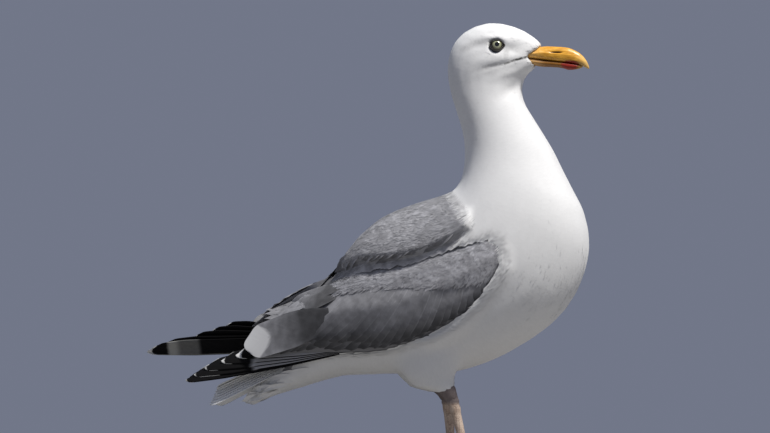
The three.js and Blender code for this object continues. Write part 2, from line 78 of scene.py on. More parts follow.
floor_mesh = bmesh.new()
bmesh.ops.create_circle(floor_mesh, cap_ends=True, radius=2.6, segments=96)
floor = bpy.data.objects.new("floor", bpy.data.meshes.new("floor"))
floor_mesh.to_mesh(floor.data)
floor.data.materials.append(plain_material("pale floor", (0.24, 0.235, 0.225), 0.7))
bpy.context.scene.collection.objects.link(floor)


def add_soft_light(name, place, size, power, color):
    light = bpy.data.objects.new(name, bpy.data.lights.new(name, "AREA"))
    light.data.shape = "DISK"
    light.data.size = size
    light.data.energy = power
    light.data.color = color
    light.location = place
    light.rotation_euler = (Vector(place) - Vector((0, 0, 0.22))).to_track_quat("Z", "Y").to_euler()
    bpy.context.scene.collection.objects.link(light)


add_soft_light("key", (1.53, -0.97, 3.36), 0.5, 168, (1.0, 0.975, 0.94))
add_soft_light("rim", (-1.4, 1.0, 2.9), 1.6, 7, (0.9, 0.95, 1.0))
world = bpy.data.worlds.new("studio")
world.use_nodes = True
world.node_tree.nodes["Background"].inputs["Color"].default_value = (0.185, 0.205, 0.275, 1)
world.node_tree.nodes["Background"].inputs["Strength"].default_value = 0.9
bpy.context.scene.world = world

# ------------------------------------------------------------------ skin
# One skin covers head, neck, trunk, folded arms, thighs, shanks and webbed feet without a seam.
# It is cast over the joined solids, smoothed, rolled free of flats, and drawn in under the feathers
# by their depth. The outer form, on which the feathers lie, is kept beside it.

MM = 0.001
FEATHERED = ["head", "neck", "trunk", "thigh_left", "thigh_right"]
ARMS = ["wing_left", "wing_right"]
BARE_LEGS = [f"{part}_{side}" for part in ("shank", "foot") for side in ("left", "right")]
WRIST_REACH = 65  # from the middle of the neck's root to the bend of the wing
origin_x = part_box("wing_right")[1][0] - WRIST_REACH * MM


def at(x, y, z):
    """A place given in millimetres from the middle of the neck's root, in the frame's metres."""
    return Vector((origin_x + x * MM, y * MM, z * MM))


def joined_copy(names, swell):
    """The named solids as one bmesh, each merged and pushed out a little so that they overlap."""
    joined = bmesh.new()
    for name in names:
        part = bmesh.new()
        part.from_mesh(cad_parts[name].data)
        bmesh.ops.remove_doubles(part, verts=part.verts, dist=1e-6)
        part.normal_update()
        for vertex in part.verts:
            vertex.co += vertex.normal * swell
        passing = bpy.data.meshes.new("passing")
        part.to_mesh(passing)
        joined.from_mesh(passing)
        bpy.data.meshes.remove(passing)
    return joined


def finished_mesh(name, shapes, modifiers):
    """The mesh that a bmesh becomes under a list of modifiers, each a type and its settings."""
    holder = bpy.data.objects.new("holder", bpy.data.meshes.new("holder"))
    shapes.to_mesh(holder.data)
    bpy.context.scene.collection.objects.link(holder)
    for kind, settings in modifiers:
        modifier = holder.modifiers.new(kind, kind)
        for key, value in settings.items():
            setattr(modifier, key, value)
    graph = bpy.context.evaluated_depsgraph_get()
    mesh = bpy.data.meshes.new_from_object(holder.evaluated_get(graph))
    mesh.name = name
    bpy.data.objects.remove(holder)
    return mesh


def cast_over(name, shapes, voxel, smoothing):
    """A mesh cast over a bmesh at the given grain, with its facets smoothed away."""
    cast = ("REMESH", {"mode": "VOXEL", "voxel_size": voxel, "use_smooth_shade": True})
    return finished_mesh(name, shapes, [cast, ("SMOOTH", {"factor": 0.5, "iterations": smoothing})])


def unit(vectors):
    return vectors / np.maximum(np.linalg.norm(vectors, axis=-1, keepdims=True), 1e-12)


class Form:
    """A shape that feathers are laid on: it gives the nearest surface point and a smooth normal."""

    def __init__(self, mesh):
        mesh.calc_loop_triangles()
        count = len(mesh.vertices)
        self.points = np.empty(count * 3)
        mesh.vertices.foreach_get("co", self.points)
        self.points = self.points.reshape(-1, 3)
        self.normals = np.empty(count * 3)
        mesh.vertex_normals.foreach_get("vector", self.normals)
        self.normals = self.normals.reshape(-1, 3)
        self.faces = np.empty(len(mesh.loop_triangles) * 3, int)
        mesh.loop_triangles.foreach_get("vertices", self.faces)
        self.faces = self.faces.reshape(-1, 3)
        self.tree = BVHTree.FromPolygons(self.points.tolist(), self.faces.tolist())

    def press(self, places):
        """Each place moved to the nearest point of the surface, with the normal there."""
        shape = places.shape
        found, normals = self.read([self.tree.find_nearest(place) for place in places.reshape(-1, 3).tolist()])
        return found.reshape(shape), normals.reshape(shape)

    def read(self, hits):
        found = np.array([hit[0] for hit in hits])
        corners = self.faces[[hit[2] for hit in hits]]
        gaps = np.linalg.norm(self.points[corners] - found[:, None], axis=2)
        normals = (self.normals[corners] / (gaps[..., None] + 1e-4) ** 2).sum(1)
        return found, unit(normals)

    def under(self, places, side):
        """The outermost surface points at side-view places, and their normals."""
        hits = []
        for x, _, z in places.tolist():
            hit = self.tree.ray_cast((x, side * 0.3, z), (0, -side, 0))
            if hit[0] is None:
                hit = self.tree.find_nearest((x, side * 0.05, z))
            hits.append(hit)
        return self.read(hits)


def ramp(value, low, high):
    share = np.clip((value - low) / (high - low), 0, 1)
    return share * share * (3 - 2 * share)


def local_mm(points):
    """Frame places in millimetres from the middle of the neck's root."""
    return (points - np.array(at(0, 0, 0))) / MM


# Loose feathers stand out in a lobe over each shoulder and in a bolster along the folded wing's lower edge.
SHOULDER_EDGE = [
    (-128, 184), (-108, 196), (-80, 206), (-50, 208), (-20, 212), (0, 221), (18, 229), (30, 238), (33, 262)
]
WING_EDGE = [
    (61, 228), (60.5, 214), (58.5, 201), (49, 186), (39, 169), (31, 161), (16, 147), (1, 137), (-15, 131), (-35, 122)
]
SHOULDER_SWELL = 7
FLANK_SWELL = 3.6

# The modelling of the face: middle, breadth, depth and slope of each swelling or hollow, and its height.
FACE = [
    (50, 428.5, 15, 3.2, -0.10, 1.5),  # brow
    (67, 418, 9, 6.5, 0.1, -2.3),  # hollow before the eye
    (33, 421, 9, 4, 0.25, -1.0),  # hollow behind the eye
    (46, 407, 15, 5.5, 0.10, 1.5),  # cheek
    (58, 403.5, 20, 1.8, 0.30, -1.1),  # crease from the gape
    (66, 395, 14, 4.5, 0.35, 1.2),  # jaw
    (30, 396, 14, 9, 0.2, 0.8),  # jowl
    (70, 379, 13, 8, 0.45, -3.0),  # hollow of the throat, under the jaw
]


def edge_gap(places, edge):
    """How far side-view places stand above (left of) a line that runs forwards, and how far along."""
    line = np.array(edge, float)
    starts, runs = line[:-1], np.diff(line, axis=0)
    flat = places[:, None, [0, 2]] - starts[None]
    share = np.clip((flat * runs).sum(2) / (runs**2).sum(1), 0, 1)
    offset = flat - share[..., None] * runs
    gaps = np.linalg.norm(offset, axis=2)
    nearest = gaps.argmin(1)
    rows = np.arange(len(places))
    turn = runs[nearest, 0] * flat[rows, nearest, 1] - runs[nearest, 1] * flat[rows, nearest, 0]
    return gaps[rows, nearest] * np.sign(turn), (nearest + share[rows, nearest]) / len(runs)


def loose_swell(points, normals):
    """How far the loose feathers stand out, in millimetres."""
    places = local_mm(points)
    sideways = ramp(np.abs(normals[:, 1]), 0.2, 0.7)
    above, along = edge_gap(places, SHOULDER_EDGE)
    lobe = ramp(above, -1.0, 5) * ramp(above, 48, 12) * ramp(along, 0.0, 0.2) * ramp(along, 1.0, 0.88)
    below, run = edge_gap(places, WING_EDGE[::-1])
    bolster = ramp(-below, -3.0, 1.0) * ramp(-below, 18, 4) * ramp(run, 0.0, 0.14) * ramp(run, 1.0, 0.72)
    return sideways * (SHOULDER_SWELL * lobe + FLANK_SWELL * bolster + modelling(places))


def modelling(places):
    """How far the face stands out or in at places given in millimetres."""
    x, z = places[:, 0], places[:, 2]
    return sum(
        rise * np.exp(-(((x - cx) / rx) ** 2) - (((z - cz - slope * (x - cx)) / rz) ** 2)) for cx, cz, rx, rz, slope,
        rise in FACE
    )


def swollen(mesh):
    form = Form(mesh)
    fuller = form.points + form.normals * (loose_swell(form.points, form.normals) * MM)[:, None]
    mesh.vertices.foreach_set("co", fuller.ravel())
    mesh.update()
    return Form(mesh)


leg_shapes = joined_copy(BARE_LEGS, 0.3 * MM)
heels = []
for side in ("left", "right"):  # the knob of each heel, round the joint
    low, high = (Vector(corner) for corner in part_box(f"shank_{side}"))
    top = [
        vertex.co for vertex in leg_shapes.verts
        if vertex.co.z > high.z - 2.5 * MM and (vertex.co.y > 0) == (side == "left")
    ]
    heels.append(sum(top, Vector()) / len(top))
    knob = Matrix.Translation(
        heels[-1] + Vector((-0.5, 0, 1)) * MM
    ) @ Matrix.Diagonal((6.3 * MM, 4.6 * MM, 6.5 * MM, 1))
    bmesh.ops.create_icosphere(leg_shapes, subdivisions=3, radius=1, matrix=knob)
leg_mesh = cast_over("legs", leg_shapes, 0.75 * MM, 4)


def heel_gap(points):
    """How far frame places are from the nearer heel, in millimetres."""
    return np.min([np.linalg.norm(points - np.array(heel), axis=1) for heel in heels], axis=0) / MM


outer_mesh = cast_over("outer form", joined_copy(FEATHERED + ARMS, 0.4 * MM), 1.8 * MM, 10)
softened = bmesh.new()
softened.from_mesh(outer_mesh)
low, high = at(-75, -60, 84), at(40, 60, 142)
thigh_tops = [vertex for vertex in softened.verts if all(low[axis] < vertex.co[axis] < high[axis] for axis in range(3))]
for _ in range(60):  # the thigh's top sinks into the flank
    bmesh.ops.smooth_vert(softened, verts=thigh_tops, factor=0.6, use_axis_x=True, use_axis_y=True, use_axis_z=True)
softened.to_mesh(outer_mesh)
wing_form = Form(cast_over("wing form", joined_copy(ARMS, 0.1 * MM), 1.8 * MM, 8))


EVENING_ROUNDS = 60


def evened(mesh, share):
    """Rolls the flats out of a form where share is above nothing, without making it thinner."""
    points = Form(mesh).points
    ends = np.empty(len(mesh.edges) * 2, int)
    mesh.edges.foreach_get("vertices", ends)
    first, second = ends.reshape(-1, 2).T
    count = np.bincount(ends, minlength=len(points))[:, None]

    def rolled(shape):
        for _ in range(EVENING_ROUNDS):
            total = [
                np.bincount(
                    first, shape[second, axis], len(shape)
                ) + np.bincount(second, shape[first, axis], len(shape))
                for axis in range(3)
            ]
            shape = shape + 0.6 * (np.stack(total, 1) / count - shape)
        return shape

    once = rolled(points)
    points = points + share[:, None] * (2 * once - rolled(once) - points)
    mesh.vertices.foreach_set("co", points.ravel())
    mesh.update()


rough_form = Form(outer_mesh)
places = local_mm(rough_form.points)
clear_of_wing = np.array([wing_form.tree.find_nearest(point)[3] for point in rough_form.points.tolist()])
head_share = ramp(places[:, 0], -5, 25) * ramp(places[:, 2], 365, 390)
evened(
    outer_mesh,
    ramp(
        clear_of_wing, 3 * MM, 14 * MM
    ) * (1 - head_share) * ramp(places[:, 2], 92, 106) * ramp(places[:, 0], -190, -160)
)
bare_form = Form(outer_mesh)
outer_form = swollen(outer_mesh.copy())

COAT_DEPTH = 2.4 * MM
WING_COAT_DEPTH = 0.9 * MM
FACE_COAT_DEPTH = 0.6 * MM
SKIN_GRAIN = 2.4 * MM

places = local_mm(bare_form.points)
near_wing = np.array([wing_form.tree.find_nearest(point)[3] for point in bare_form.points.tolist()])
on_wing = 1 - ramp(near_wing, 0.8 * MM, 3 * MM)
face = ramp(places[:, 0], 20, 70) * ramp(places[:, 2], 372, 392)
depth = COAT_DEPTH * (1 - face) + FACE_COAT_DEPTH * face
depth = depth * (1 - on_wing) + WING_COAT_DEPTH * on_wing
depth = depth * ramp(heel_gap(bare_form.points), 15, 23)  # bare round the heel
hollows = np.minimum(modelling(places), 0) * MM
depth = depth - hollows * np.abs(bare_form.normals[:, 1])
skin_shape = bmesh.new()
skin_shape.from_mesh(outer_mesh)
for vertex, point in zip(skin_shape.verts, bare_form.points - bare_form.normals * depth[:, None]):
    vertex.co = point
skin_mesh = finished_mesh(
    "skin", skin_shape,
    [("REMESH", {"mode": "VOXEL", "voxel_size": SKIN_GRAIN}), ("SMOOTH", {"factor": 0.5, "iterations": 2})]
)
legs = bpy.data.objects.new("legs", leg_mesh)
bpy.context.scene.collection.objects.link(legs)
joined_skin = bmesh.new()
joined_skin.from_mesh(skin_mesh)
union = ("BOOLEAN", {"operation": "UNION", "solver": "MANIFOLD", "object": legs})
skin = bpy.data.objects.new("skin", finished_mesh("skin", joined_skin, [union]))
bpy.data.objects.remove(legs)
bpy.context.scene.collection.objects.link(skin)
skin.data.shade_smooth()

# ------------------------------------------------------------------ eyes
# Two glossy eyeballs with a pale greenish yellow iris and a black pupil, set a little forward.
# A dark fleshy rim closes over each one, its front corner drawn out to a point; its darkness is partly the lid's own
# and partly painted shade, darkest on the upper lid under the brow.

EYE_RADIUS = 8
EYE_PLACE = (50.5, 20.4, 421)
EYE_AIM = (0.18, 0.965, 0.19)
IRIS_RADIUS = 4.7
PUPIL_RADIUS = 2.15
RIM_OPENING = (5.6, 4.4)
RIM_BREADTH = 1.2
RIM_HEIGHT = 0.75


def shader_of(material):
    return material.node_tree.nodes["Principled BSDF"]


def new_material(name, roughness, **settings):
    """A material whose shader has the given constant settings, with its node tree."""
    material = bpy.data.materials.new(name)
    material.use_nodes = True
    shader = shader_of(material)
    shader.inputs["Roughness"].default_value = roughness
    for key, value in settings.items():
        shader.inputs[key.replace("_", " ")].default_value = value
    return material


class Nodes:
    """Short names for adding shader nodes to one tree and wiring them up."""

    def __init__(self, tree):
        self.tree = tree

    def add(self, kind, inputs=(), **settings):
        node = self.tree.nodes.new(kind)
        for key, value in settings.items():
            setattr(node, key, value)
        for key, value in dict(inputs).items():
            if isinstance(value, bpy.types.NodeSocket):
                self.tree.links.new(value, node.inputs[key])
            else:
                node.inputs[key].default_value = value
        return node

    def math(self, operation, *values, clamp=False):
        return self.add("ShaderNodeMath", dict(enumerate(values)), operation=operation, use_clamp=clamp).outputs[0]

    def ramp(self, value, low, high, start=0.0, end=1.0):
        inputs = {"Value": value, "From Min": low, "From Max": high, "To Min": start, "To Max": end}
        return self.add("ShaderNodeMapRange", inputs, interpolation_type="SMOOTHSTEP").outputs["Result"]

    def mix(self, share, first, second, blend="MIX"):
        node = self.add("ShaderNodeMix", data_type="RGBA", blend_type=blend)
        for key, value in ((0, share), (6, first), (7, second)):
            if isinstance(value, bpy.types.NodeSocket):
                self.tree.links.new(value, node.inputs[key])
            else:
                node.inputs[key].default_value = (*value, 1) if key else value
        return node.outputs[2]

    def noise(self, place, scale, detail=2.0):
        return self.add("ShaderNodeTexNoise", {"Vector": place, "Scale": scale, "Detail": detail}).outputs["Fac"]

    def object_place(self):
        return self.add("ShaderNodeTexCoord").outputs["Object"]

    def moved(self, place, location=(0, 0, 0), rotation=(0, 0, 0), scale=(1, 1, 1)):
        inputs = {"Vector": place, "Location": location, "Rotation": rotation, "Scale": scale}
        return self.add("ShaderNodeMapping", inputs).outputs["Vector"]

    def axes(self, place):
        return self.add("ShaderNodeSeparateXYZ", {"Vector": place}).outputs

    def bump(self, height, strength, distance):
        inputs = {"Height": height, "Strength": strength, "Distance": distance}
        return self.add("ShaderNodeBump", inputs).outputs["Normal"]


def wire(material, **sockets):
    """Links node outputs to the named inputs of the material's shader."""
    for key, socket in sockets.items():
        material.node_tree.links.new(socket, shader_of(material).inputs[key.replace("_", " ")])


def eye_material(name, side):
    material = new_material(name, 0.12, Coat_Weight=1.0, Coat_Roughness=0.03)
    nodes = Nodes(material.node_tree)
    middle = at(EYE_PLACE[0], side * EYE_PLACE[1], EYE_PLACE[2])
    aim_way = Vector((EYE_AIM[0], side * EYE_AIM[1], EYE_AIM[2])).normalized()
    turn = aim_way.to_track_quat("Z", "Y").inverted().to_euler()
    centred = nodes.moved(nodes.object_place(), location=-middle)
    turned = nodes.axes(nodes.moved(centred, rotation=turn, scale=(1000, 1000, 1000)))
    radius = nodes.math(
        "SQRT",
        nodes.math("ADD", nodes.math("MULTIPLY", turned[0], turned[0]), nodes.math("MULTIPLY", turned[1], turned[1]))
    )
    angle = nodes.math("ARCTAN2", turned[1], turned[0])
    spokes = nodes.add(
        "ShaderNodeCombineXYZ", {0: nodes.math("MULTIPLY", angle, 3.0), 1: nodes.math("MULTIPLY", radius, 0.35)}
    ).outputs[0]
    fibres = nodes.noise(spokes, 3.5, 5.0)
    iris = nodes.mix(nodes.ramp(fibres, 0.3, 0.7), (0.25, 0.26, 0.16), (0.44, 0.45, 0.30))
    iris = nodes.mix(nodes.ramp(radius, IRIS_RADIUS * 0.66, IRIS_RADIUS), iris, (0.16, 0.15, 0.06))
    ball = nodes.mix(nodes.ramp(radius, IRIS_RADIUS - 0.35, IRIS_RADIUS + 0.2), iris, (0.012, 0.010, 0.008))
    wire(
        material,
        Base_Color=nodes.mix(nodes.ramp(radius, PUPIL_RADIUS, PUPIL_RADIUS + 0.3), (0.003, 0.003, 0.003), ball)
    )
    return material


def place_piece(piece, slot, material, *replaced):
    """Puts a finished piece into the scene, on the body, with its material and its slot."""
    if piece.name not in bpy.context.scene.collection.objects:
        bpy.context.scene.collection.objects.link(piece)
    piece.data.materials.clear()
    piece.data.materials.append(material)
    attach(piece, "root")
    if replaced:
        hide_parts(*replaced)


rims = bmesh.new()
for side, name in ((1, "left"), (-1, "right")):
    middle = at(EYE_PLACE[0], side * EYE_PLACE[1], EYE_PLACE[2])
    ball = bmesh.new()
    turn = Vector((EYE_AIM[0], side * EYE_AIM[1], EYE_AIM[2])).to_track_quat("Z", "Y").to_matrix().to_4x4()
    bmesh.ops.create_uvsphere(
        ball, u_segments=48, v_segments=32, radius=EYE_RADIUS * MM, matrix=Matrix.Translation(middle) @ turn
    )
    eyeball = bpy.data.objects.new(f"eyeball_{name}", bpy.data.meshes.new(f"eyeball_{name}"))
    ball.to_mesh(eyeball.data)
    eyeball.data.shade_smooth()
    place_piece(eyeball, "eye", eye_material(f"{name} eye", side), f"eye_{name}")

    rim = bmesh.new()
    bmesh.ops.create_circle(
        rim, radius=RIM_BREADTH / 2, segments=10,
        matrix=Matrix.Translation((RIM_OPENING[0] + RIM_BREADTH / 2, 0, 0)) @ Matrix.Rotation(math.pi / 2, 4, "X")
    )
    bmesh.ops.spin(
        rim, geom=rim.verts[:] + rim.edges[:], cent=(0, 0, 0), axis=(0, 0, 1), angle=2 * math.pi, steps=56,
        use_merge=True
    )
    bmesh.ops.remove_doubles(rim, verts=rim.verts, dist=1e-4)
    aim_way = Vector((EYE_AIM[0], side * EYE_AIM[1], EYE_AIM[2])).normalized()
    up = (Vector((0, 0, 1)) - aim_way * aim_way.z).normalized()
    forward = up.cross(aim_way) * (1 if side > 0 else -1)
    forward = forward if forward.x > 0 else -forward
    for vertex in rim.verts:
        x, y, z = vertex.co
        radius, angle = math.hypot(x, y), math.atan2(y, x)
        corner = 1 + 0.24 * max(0, math.cos(angle)) ** 14 + 0.08 * max(0, -math.cos(angle)) ** 10  # the front corner
        x, y = x * corner, y * RIM_OPENING[1] / RIM_OPENING[0] * (1 - 0.16 * max(0, math.sin(angle)))
        on_ball = math.sqrt(max(EYE_RADIUS**2 - x * x - y * y, 0))
        height = max(on_ball, 4.55) + 0.15 + z / (RIM_BREADTH / 2) * RIM_HEIGHT
        vertex.co = middle + (forward * x + up * y + aim_way * height) * MM
    bmesh.ops.recalc_face_normals(rim, faces=rim.faces)
    passing = bpy.data.meshes.new("passing")
    rim.to_mesh(passing)
    rims.from_mesh(passing)
    bpy.data.meshes.remove(passing)

# ------------------------------------------------------------------ bill
# A strong hooked bill of horn, the upper half closing over the lower: yellow deepening to orange, with painted shade
# darker towards its lower edge, a red spot on the lower half's angle, and a slit of a nostril sunk in each side.

NOSTRIL = {"middle": (108.5, 415.3), "half_length": 5.6, "half_height": 0.75, "rise": -0.05, "depth": 1.3}
RED_SPOT = {"middle": (121.5, 402.5), "reach": (9.5, 5.2)}


def carved(mesh, move):
    """Moves each point of a mesh by a function of its place and normal, in millimetres."""
    normals = [normal.vector.copy() for normal in mesh.vertex_normals]
    for vertex, normal in zip(mesh.vertices, normals):
        vertex.co += move((vertex.co - at(0, 0, 0)) / MM, normal) * MM


def upper_bill_move(place, normal):
    x, z = place.x - NOSTRIL["middle"][0], place.z - NOSTRIL["middle"][1]
    z -= NOSTRIL["rise"] * x
    slit = math.exp(-((x / NOSTRIL["half_length"]) ** 4) - (z / NOSTRIL["half_height"]) ** 2)
    hollow = 0.35 * math.exp(-((x / 9) ** 2) - (z / 2.6) ** 2)
    side = min(1, abs(normal.y) * 1.6)
    return -normal * (NOSTRIL["depth"] * slit + hollow) * side


upper_bill = bpy.data.objects.new(
    "bill_upper_horn", cast_over("bill_upper_horn", joined_copy(["bill_upper"], 0.15 * MM), 0.5 * MM, 7)
)
carved(upper_bill.data, upper_bill_move)
lower_bill = bpy.data.objects.new(
    "bill_lower_horn", cast_over("bill_lower_horn", joined_copy(["bill_lower"], 0.5 * MM), 0.5 * MM, 6)
)
carved(lower_bill.data, lambda place, normal: Vector((0, -0.16 * place.y, 0)))


def bill_material():
    material = new_material("bill horn", 0.34, Specular_IOR_Level=0.35, Coat_Weight=0.1, Coat_Roughness=0.3)
    nodes = Nodes(material.node_tree)
    place = nodes.object_place()
    local = nodes.moved(place, location=-at(0, 0, 0) * 1000, scale=(1000, 1000, 1000))
    x, y, z = nodes.axes(local)
    grain = nodes.noise(nodes.moved(local, scale=(0.12, 0.7, 0.9)), 1.0, 4.0)
    fine = nodes.noise(nodes.moved(local, scale=(0.5, 2.5, 3.5)), 1.0, 3.0)
    horn = nodes.mix(nodes.ramp(grain, 0.3, 0.7), (0.58, 0.26, 0.022), (0.84, 0.44, 0.05))
    # painted shade: the bill darkens towards its lower edge
    painted_lower_shade = nodes.ramp(nodes.math("SUBTRACT", z, nodes.ramp(x, 78, 125, 409.5, 405.5)), 1.5, -1.0)
    horn = nodes.mix(nodes.math("MULTIPLY", painted_lower_shade, 0.95), horn, (0.20, 0.075, 0.004))
    # paler at the root, and again at the point
    horn = nodes.mix(nodes.math("MULTIPLY", nodes.ramp(x, 100, 80), 0.55), horn, (0.86, 0.54, 0.20))
    horn = nodes.mix(nodes.math("MULTIPLY", nodes.ramp(x, 124, 139), 0.6), horn, (0.90, 0.60, 0.20))
    streaks = nodes.ramp(fine, 0.55, 0.8)
    horn = nodes.mix(nodes.math("MULTIPLY", streaks, 0.35), horn, (0.36, 0.15, 0.02))
    dx = nodes.math("DIVIDE", nodes.math("SUBTRACT", x, RED_SPOT["middle"][0]), RED_SPOT["reach"][0])
    dz = nodes.math("DIVIDE", nodes.math("SUBTRACT", z, RED_SPOT["middle"][1]), RED_SPOT["reach"][1])
    far = nodes.math("ADD", nodes.math("MULTIPLY", dx, dx), nodes.math("MULTIPLY", dz, dz))
    far = nodes.math("ADD", far, nodes.math("MULTIPLY", nodes.math("SUBTRACT", grain, 0.5), 0.8))
    horn = nodes.mix(nodes.ramp(far, 1.15, 0.5), horn, (0.26, 0.016, 0.006))
    nx = nodes.math("DIVIDE", nodes.math("SUBTRACT", x, NOSTRIL["middle"][0]), NOSTRIL["half_length"] * 1.02)
    nz = nodes.math("DIVIDE", nodes.math("SUBTRACT", z, NOSTRIL["middle"][1]), NOSTRIL["half_height"] * 1.1)
    slit = nodes.math("ADD", nodes.math("MULTIPLY", nx, nx), nodes.math("MULTIPLY", nz, nz))
    # painted shade: the sunk nostril slit is painted dark
    horn = nodes.mix(nodes.ramp(slit, 1.3, 0.6), horn, (0.05, 0.018, 0.004))
    height = nodes.math("ADD", nodes.math("MULTIPLY", grain, 0.6), nodes.math("MULTIPLY", fine, 0.4))
    wire(
        material, Base_Color=horn, Roughness=nodes.ramp(fine, 0.3, 0.7, 0.28, 0.42),
        Normal=nodes.bump(height, 0.25, 0.0004)
    )
    return material


bill_finish = bill_material()
for half, node in ((upper_bill, "bill_upper"), (lower_bill, "bill_lower")):
    half.data.shade_smooth()
    place_piece(half, "horn", bill_finish, node)

# ------------------------------------------------------------------ body feathers
# Small soft feathers cover head, neck, breast, belly, flanks, back and thighs: each is a curved vane
# rooted in the skin, lying from bill to tail over the next one. Back and shoulders are grey.

# The lie of the coat seen from the side: place in millimetres, then the way the feathers point.
LIE = [
    (94, 421, 172), (92, 405, 188), (75, 440, 170), (50, 446, 180), (20, 441, 196), (5, 427, 222), (-2, 404, 262),
    (70, 415, 186), (50, 404, 196), (30, 420, 205), (76, 392, 222), (74, 374, 270), (40, 385, 262), (20, 400, 250),
    (0, 380, 272), (8, 352, 280), (15, 322, 274), (12, 293, 245), (-3, 276, 205), (-54, 259, 197), (-84, 241, 215),
    (-110, 205, 232), (-150, 126, 226), (-180, 96, 205), (90, 345, 298), (105, 319, 298), (120, 287, 294),
    (136, 254, 286), (140, 218, 268), (132, 187, 250), (115, 158, 236), (88, 134, 222), (46, 110, 208), (8, 97, 192),
    (-40, 95, 181), (-80, 94, 184), (-110, 93, 192), (-142, 85, 196), (-205, 66, 200), (45, 350, 276), (60, 315, 277),
    (40, 290, 258), (75, 270, 262), (90, 230, 254), (70, 200, 240), (40, 170, 222), (0, 150, 205), (-60, 140, 194),
    (-120, 115, 196), (60, 232, 222), (30, 258, 222), (-30, 238, 200),
]


def lie_at(points):
    """The way the coat points at frame places, as unit vectors in the plane of the bird's middle."""
    places = local_mm(points)
    guides = np.array([(x, z) for x, z, _ in LIE])
    turns = np.radians([turn for _, _, turn in LIE])
    gaps = ((places[:, None, [0, 2]] - guides[None]) ** 2).sum(2) + 20
    shares = 1 / gaps**1.8
    way = np.zeros_like(points)
    way[:, 0] = (shares * np.cos(turns)).sum(1)
    way[:, 2] = (shares * np.sin(turns)).sum(1)
    return unit(way)


class Vane:
    """The sheet one feather is made from: each point is known by how far across and along it is."""

    def __init__(self, across, along, closing=0.34, root_width=0.45, fringe=0.0, narrow=0.16, crowd=1.0, bow=0.07):
        sheet = bmesh.new()
        bmesh.ops.create_grid(sheet, x_segments=across, y_segments=along, size=1)
        sheet.verts.ensure_lookup_table()
        self.across = np.array([vertex.co.x for vertex in sheet.verts])
        self.along = 1 - (1 - np.array([(vertex.co.y + 1) / 2 for vertex in sheet.verts])) ** crowd
        self.faces = np.array([[vertex.index for vertex in face.verts] for face in sheet.faces])
        closed = np.clip((self.along - (1 - closing)) / closing, 0, 1)
        swelling = root_width + (1 - root_width) * np.sin(np.minimum(self.along / 0.5, 1) * math.pi / 2)
        self.width = swelling * np.sqrt(np.maximum(1 - closed**2 * (1 - narrow**2), 0)) * self.across
        self.reach = self.along - bow * closed * self.across**2
        if fringe:
            columns = np.round((self.across + 1) / 2 * across).astype(int)
            notch = np.where(columns % 2 == 0, 1.0, -0.6) * (np.abs(self.across) < 0.99)
            self.reach = self.reach + fringe * notch * (self.along > 0.999)


SPINE = [
    (-215, 66), (-150, 105), (-80, 165), (-10, 195), (50, 215), (84, 265), (70, 315), (42, 350), (36, 385), (48, 420),
    (96, 413)
]


def unwrapped(points):
    """Where the skin's surface lies on its unwrap: round the spine by length along it."""
    places = local_mm(points)
    spine = np.array(SPINE, float)
    starts, runs = spine[:-1], np.diff(spine, axis=0)
    lengths = np.linalg.norm(runs, axis=1)
    flat = places[:, None, [0, 2]] - starts[None]
    share = np.clip((flat * runs).sum(2) / lengths**2, 0, 1)
    offset = flat - share[..., None] * runs
    nearest = np.linalg.norm(offset, axis=2).argmin(1)
    rows = np.arange(len(points))
    length = (np.cumsum(lengths) - lengths)[nearest] + share[rows, nearest] * lengths[nearest]
    above = runs[nearest, 0] * offset[rows, nearest, 1] - runs[nearest, 1] * offset[rows, nearest, 0]
    radius = np.linalg.norm(offset[rows, nearest], axis=1) * np.sign(above)
    return np.stack(
        [0.5 + np.arctan2(places[:, 1], radius) / (2 * math.pi) * 0.96, 0.02 + 0.95 * length / lengths.sum()], 1
    )


def lay_vanes(
    form, roots, lie, lengths, widths, vane, low, high, hand=1, dome=0.0, roll=0.0, steps=4, free=2.2, sink=0.0,
    crest=1.0, tuck=0.0, stiff=False, cling=0.35, path=None
):
    """Lays one vane on each root: its points, shading normals and pattern coordinates.

    low and high are how far the root and the crest stand off the form, dome how much the middle stands
    above the edges, roll how much the outer edge stands above the inner one; all in millimetres. The
    vane is highest at its crest, and its tip tucks down again by a share of the rise."""
    count, size = len(roots), len(vane.across)
    place, normal = form.press(roots)
    centres, normals, ways = [place], [normal], []
    for _ in range(0 if path else steps):
        way = lie(place)
        way = unit(way - normal * (way * normal).sum(1, keepdims=True))
        ways.append(way)
        ahead = place + way * (lengths / steps)[:, None]
        pressed, pressed_normal = form.press(ahead)
        near = np.linalg.norm(pressed - ahead, axis=1) < np.maximum(free * MM, cling * lengths / steps)
        place = np.where(near[:, None], pressed, ahead)
        normal = np.where(near[:, None], unit(pressed_normal * 0.7 + normal * 0.3), normal)
        centres.append(place)
        normals.append(normal)
    if not path:
        path = [np.stack(part, 1) for part in (centres, normals, ways + ways[-1:])]
    centres, normals, ways = path
    knot = np.minimum((np.clip(vane.reach, 0, 1) * steps).astype(int), steps - 1)
    share = (vane.reach * steps - knot)[None, :, None]
    centre = centres[:, knot] * (1 - share) + centres[:, knot + 1] * share
    facing = unit(normals[:, knot] * (1 - share) + normals[:, knot + 1] * share)
    way = unit(ways[:, knot] * (1 - share) + ways[:, knot + 1] * share)
    outward = np.cross(facing, way) * hand
    spot = centre + outward * (widths[:, None, None] * vane.width[None, :, None])
    if not stiff:
        pressed, pressed_normal = form.press(spot)
        near = np.linalg.norm(pressed - spot, axis=2, keepdims=True) < free * MM * 1.3
        spot = np.where(near, pressed, spot)
        facing = np.where(near, pressed_normal, facing)
    rise = np.where(
        vane.along < crest, 1 - (1 - vane.along / crest) ** 1.6,
        1 - tuck * ((vane.along - crest) / max(1 - crest, 0.01)) ** 2
    ) if crest < 1 else vane.along
    height = low + (high - low) * rise - dome * vane.across**2 + roll * vane.across
    height = height[None] * np.ones((count, 1)) if np.ndim(sink) == 0 else height[None] - sink[:, None]
    return spot + facing * (height[..., None] * MM), facing, hand


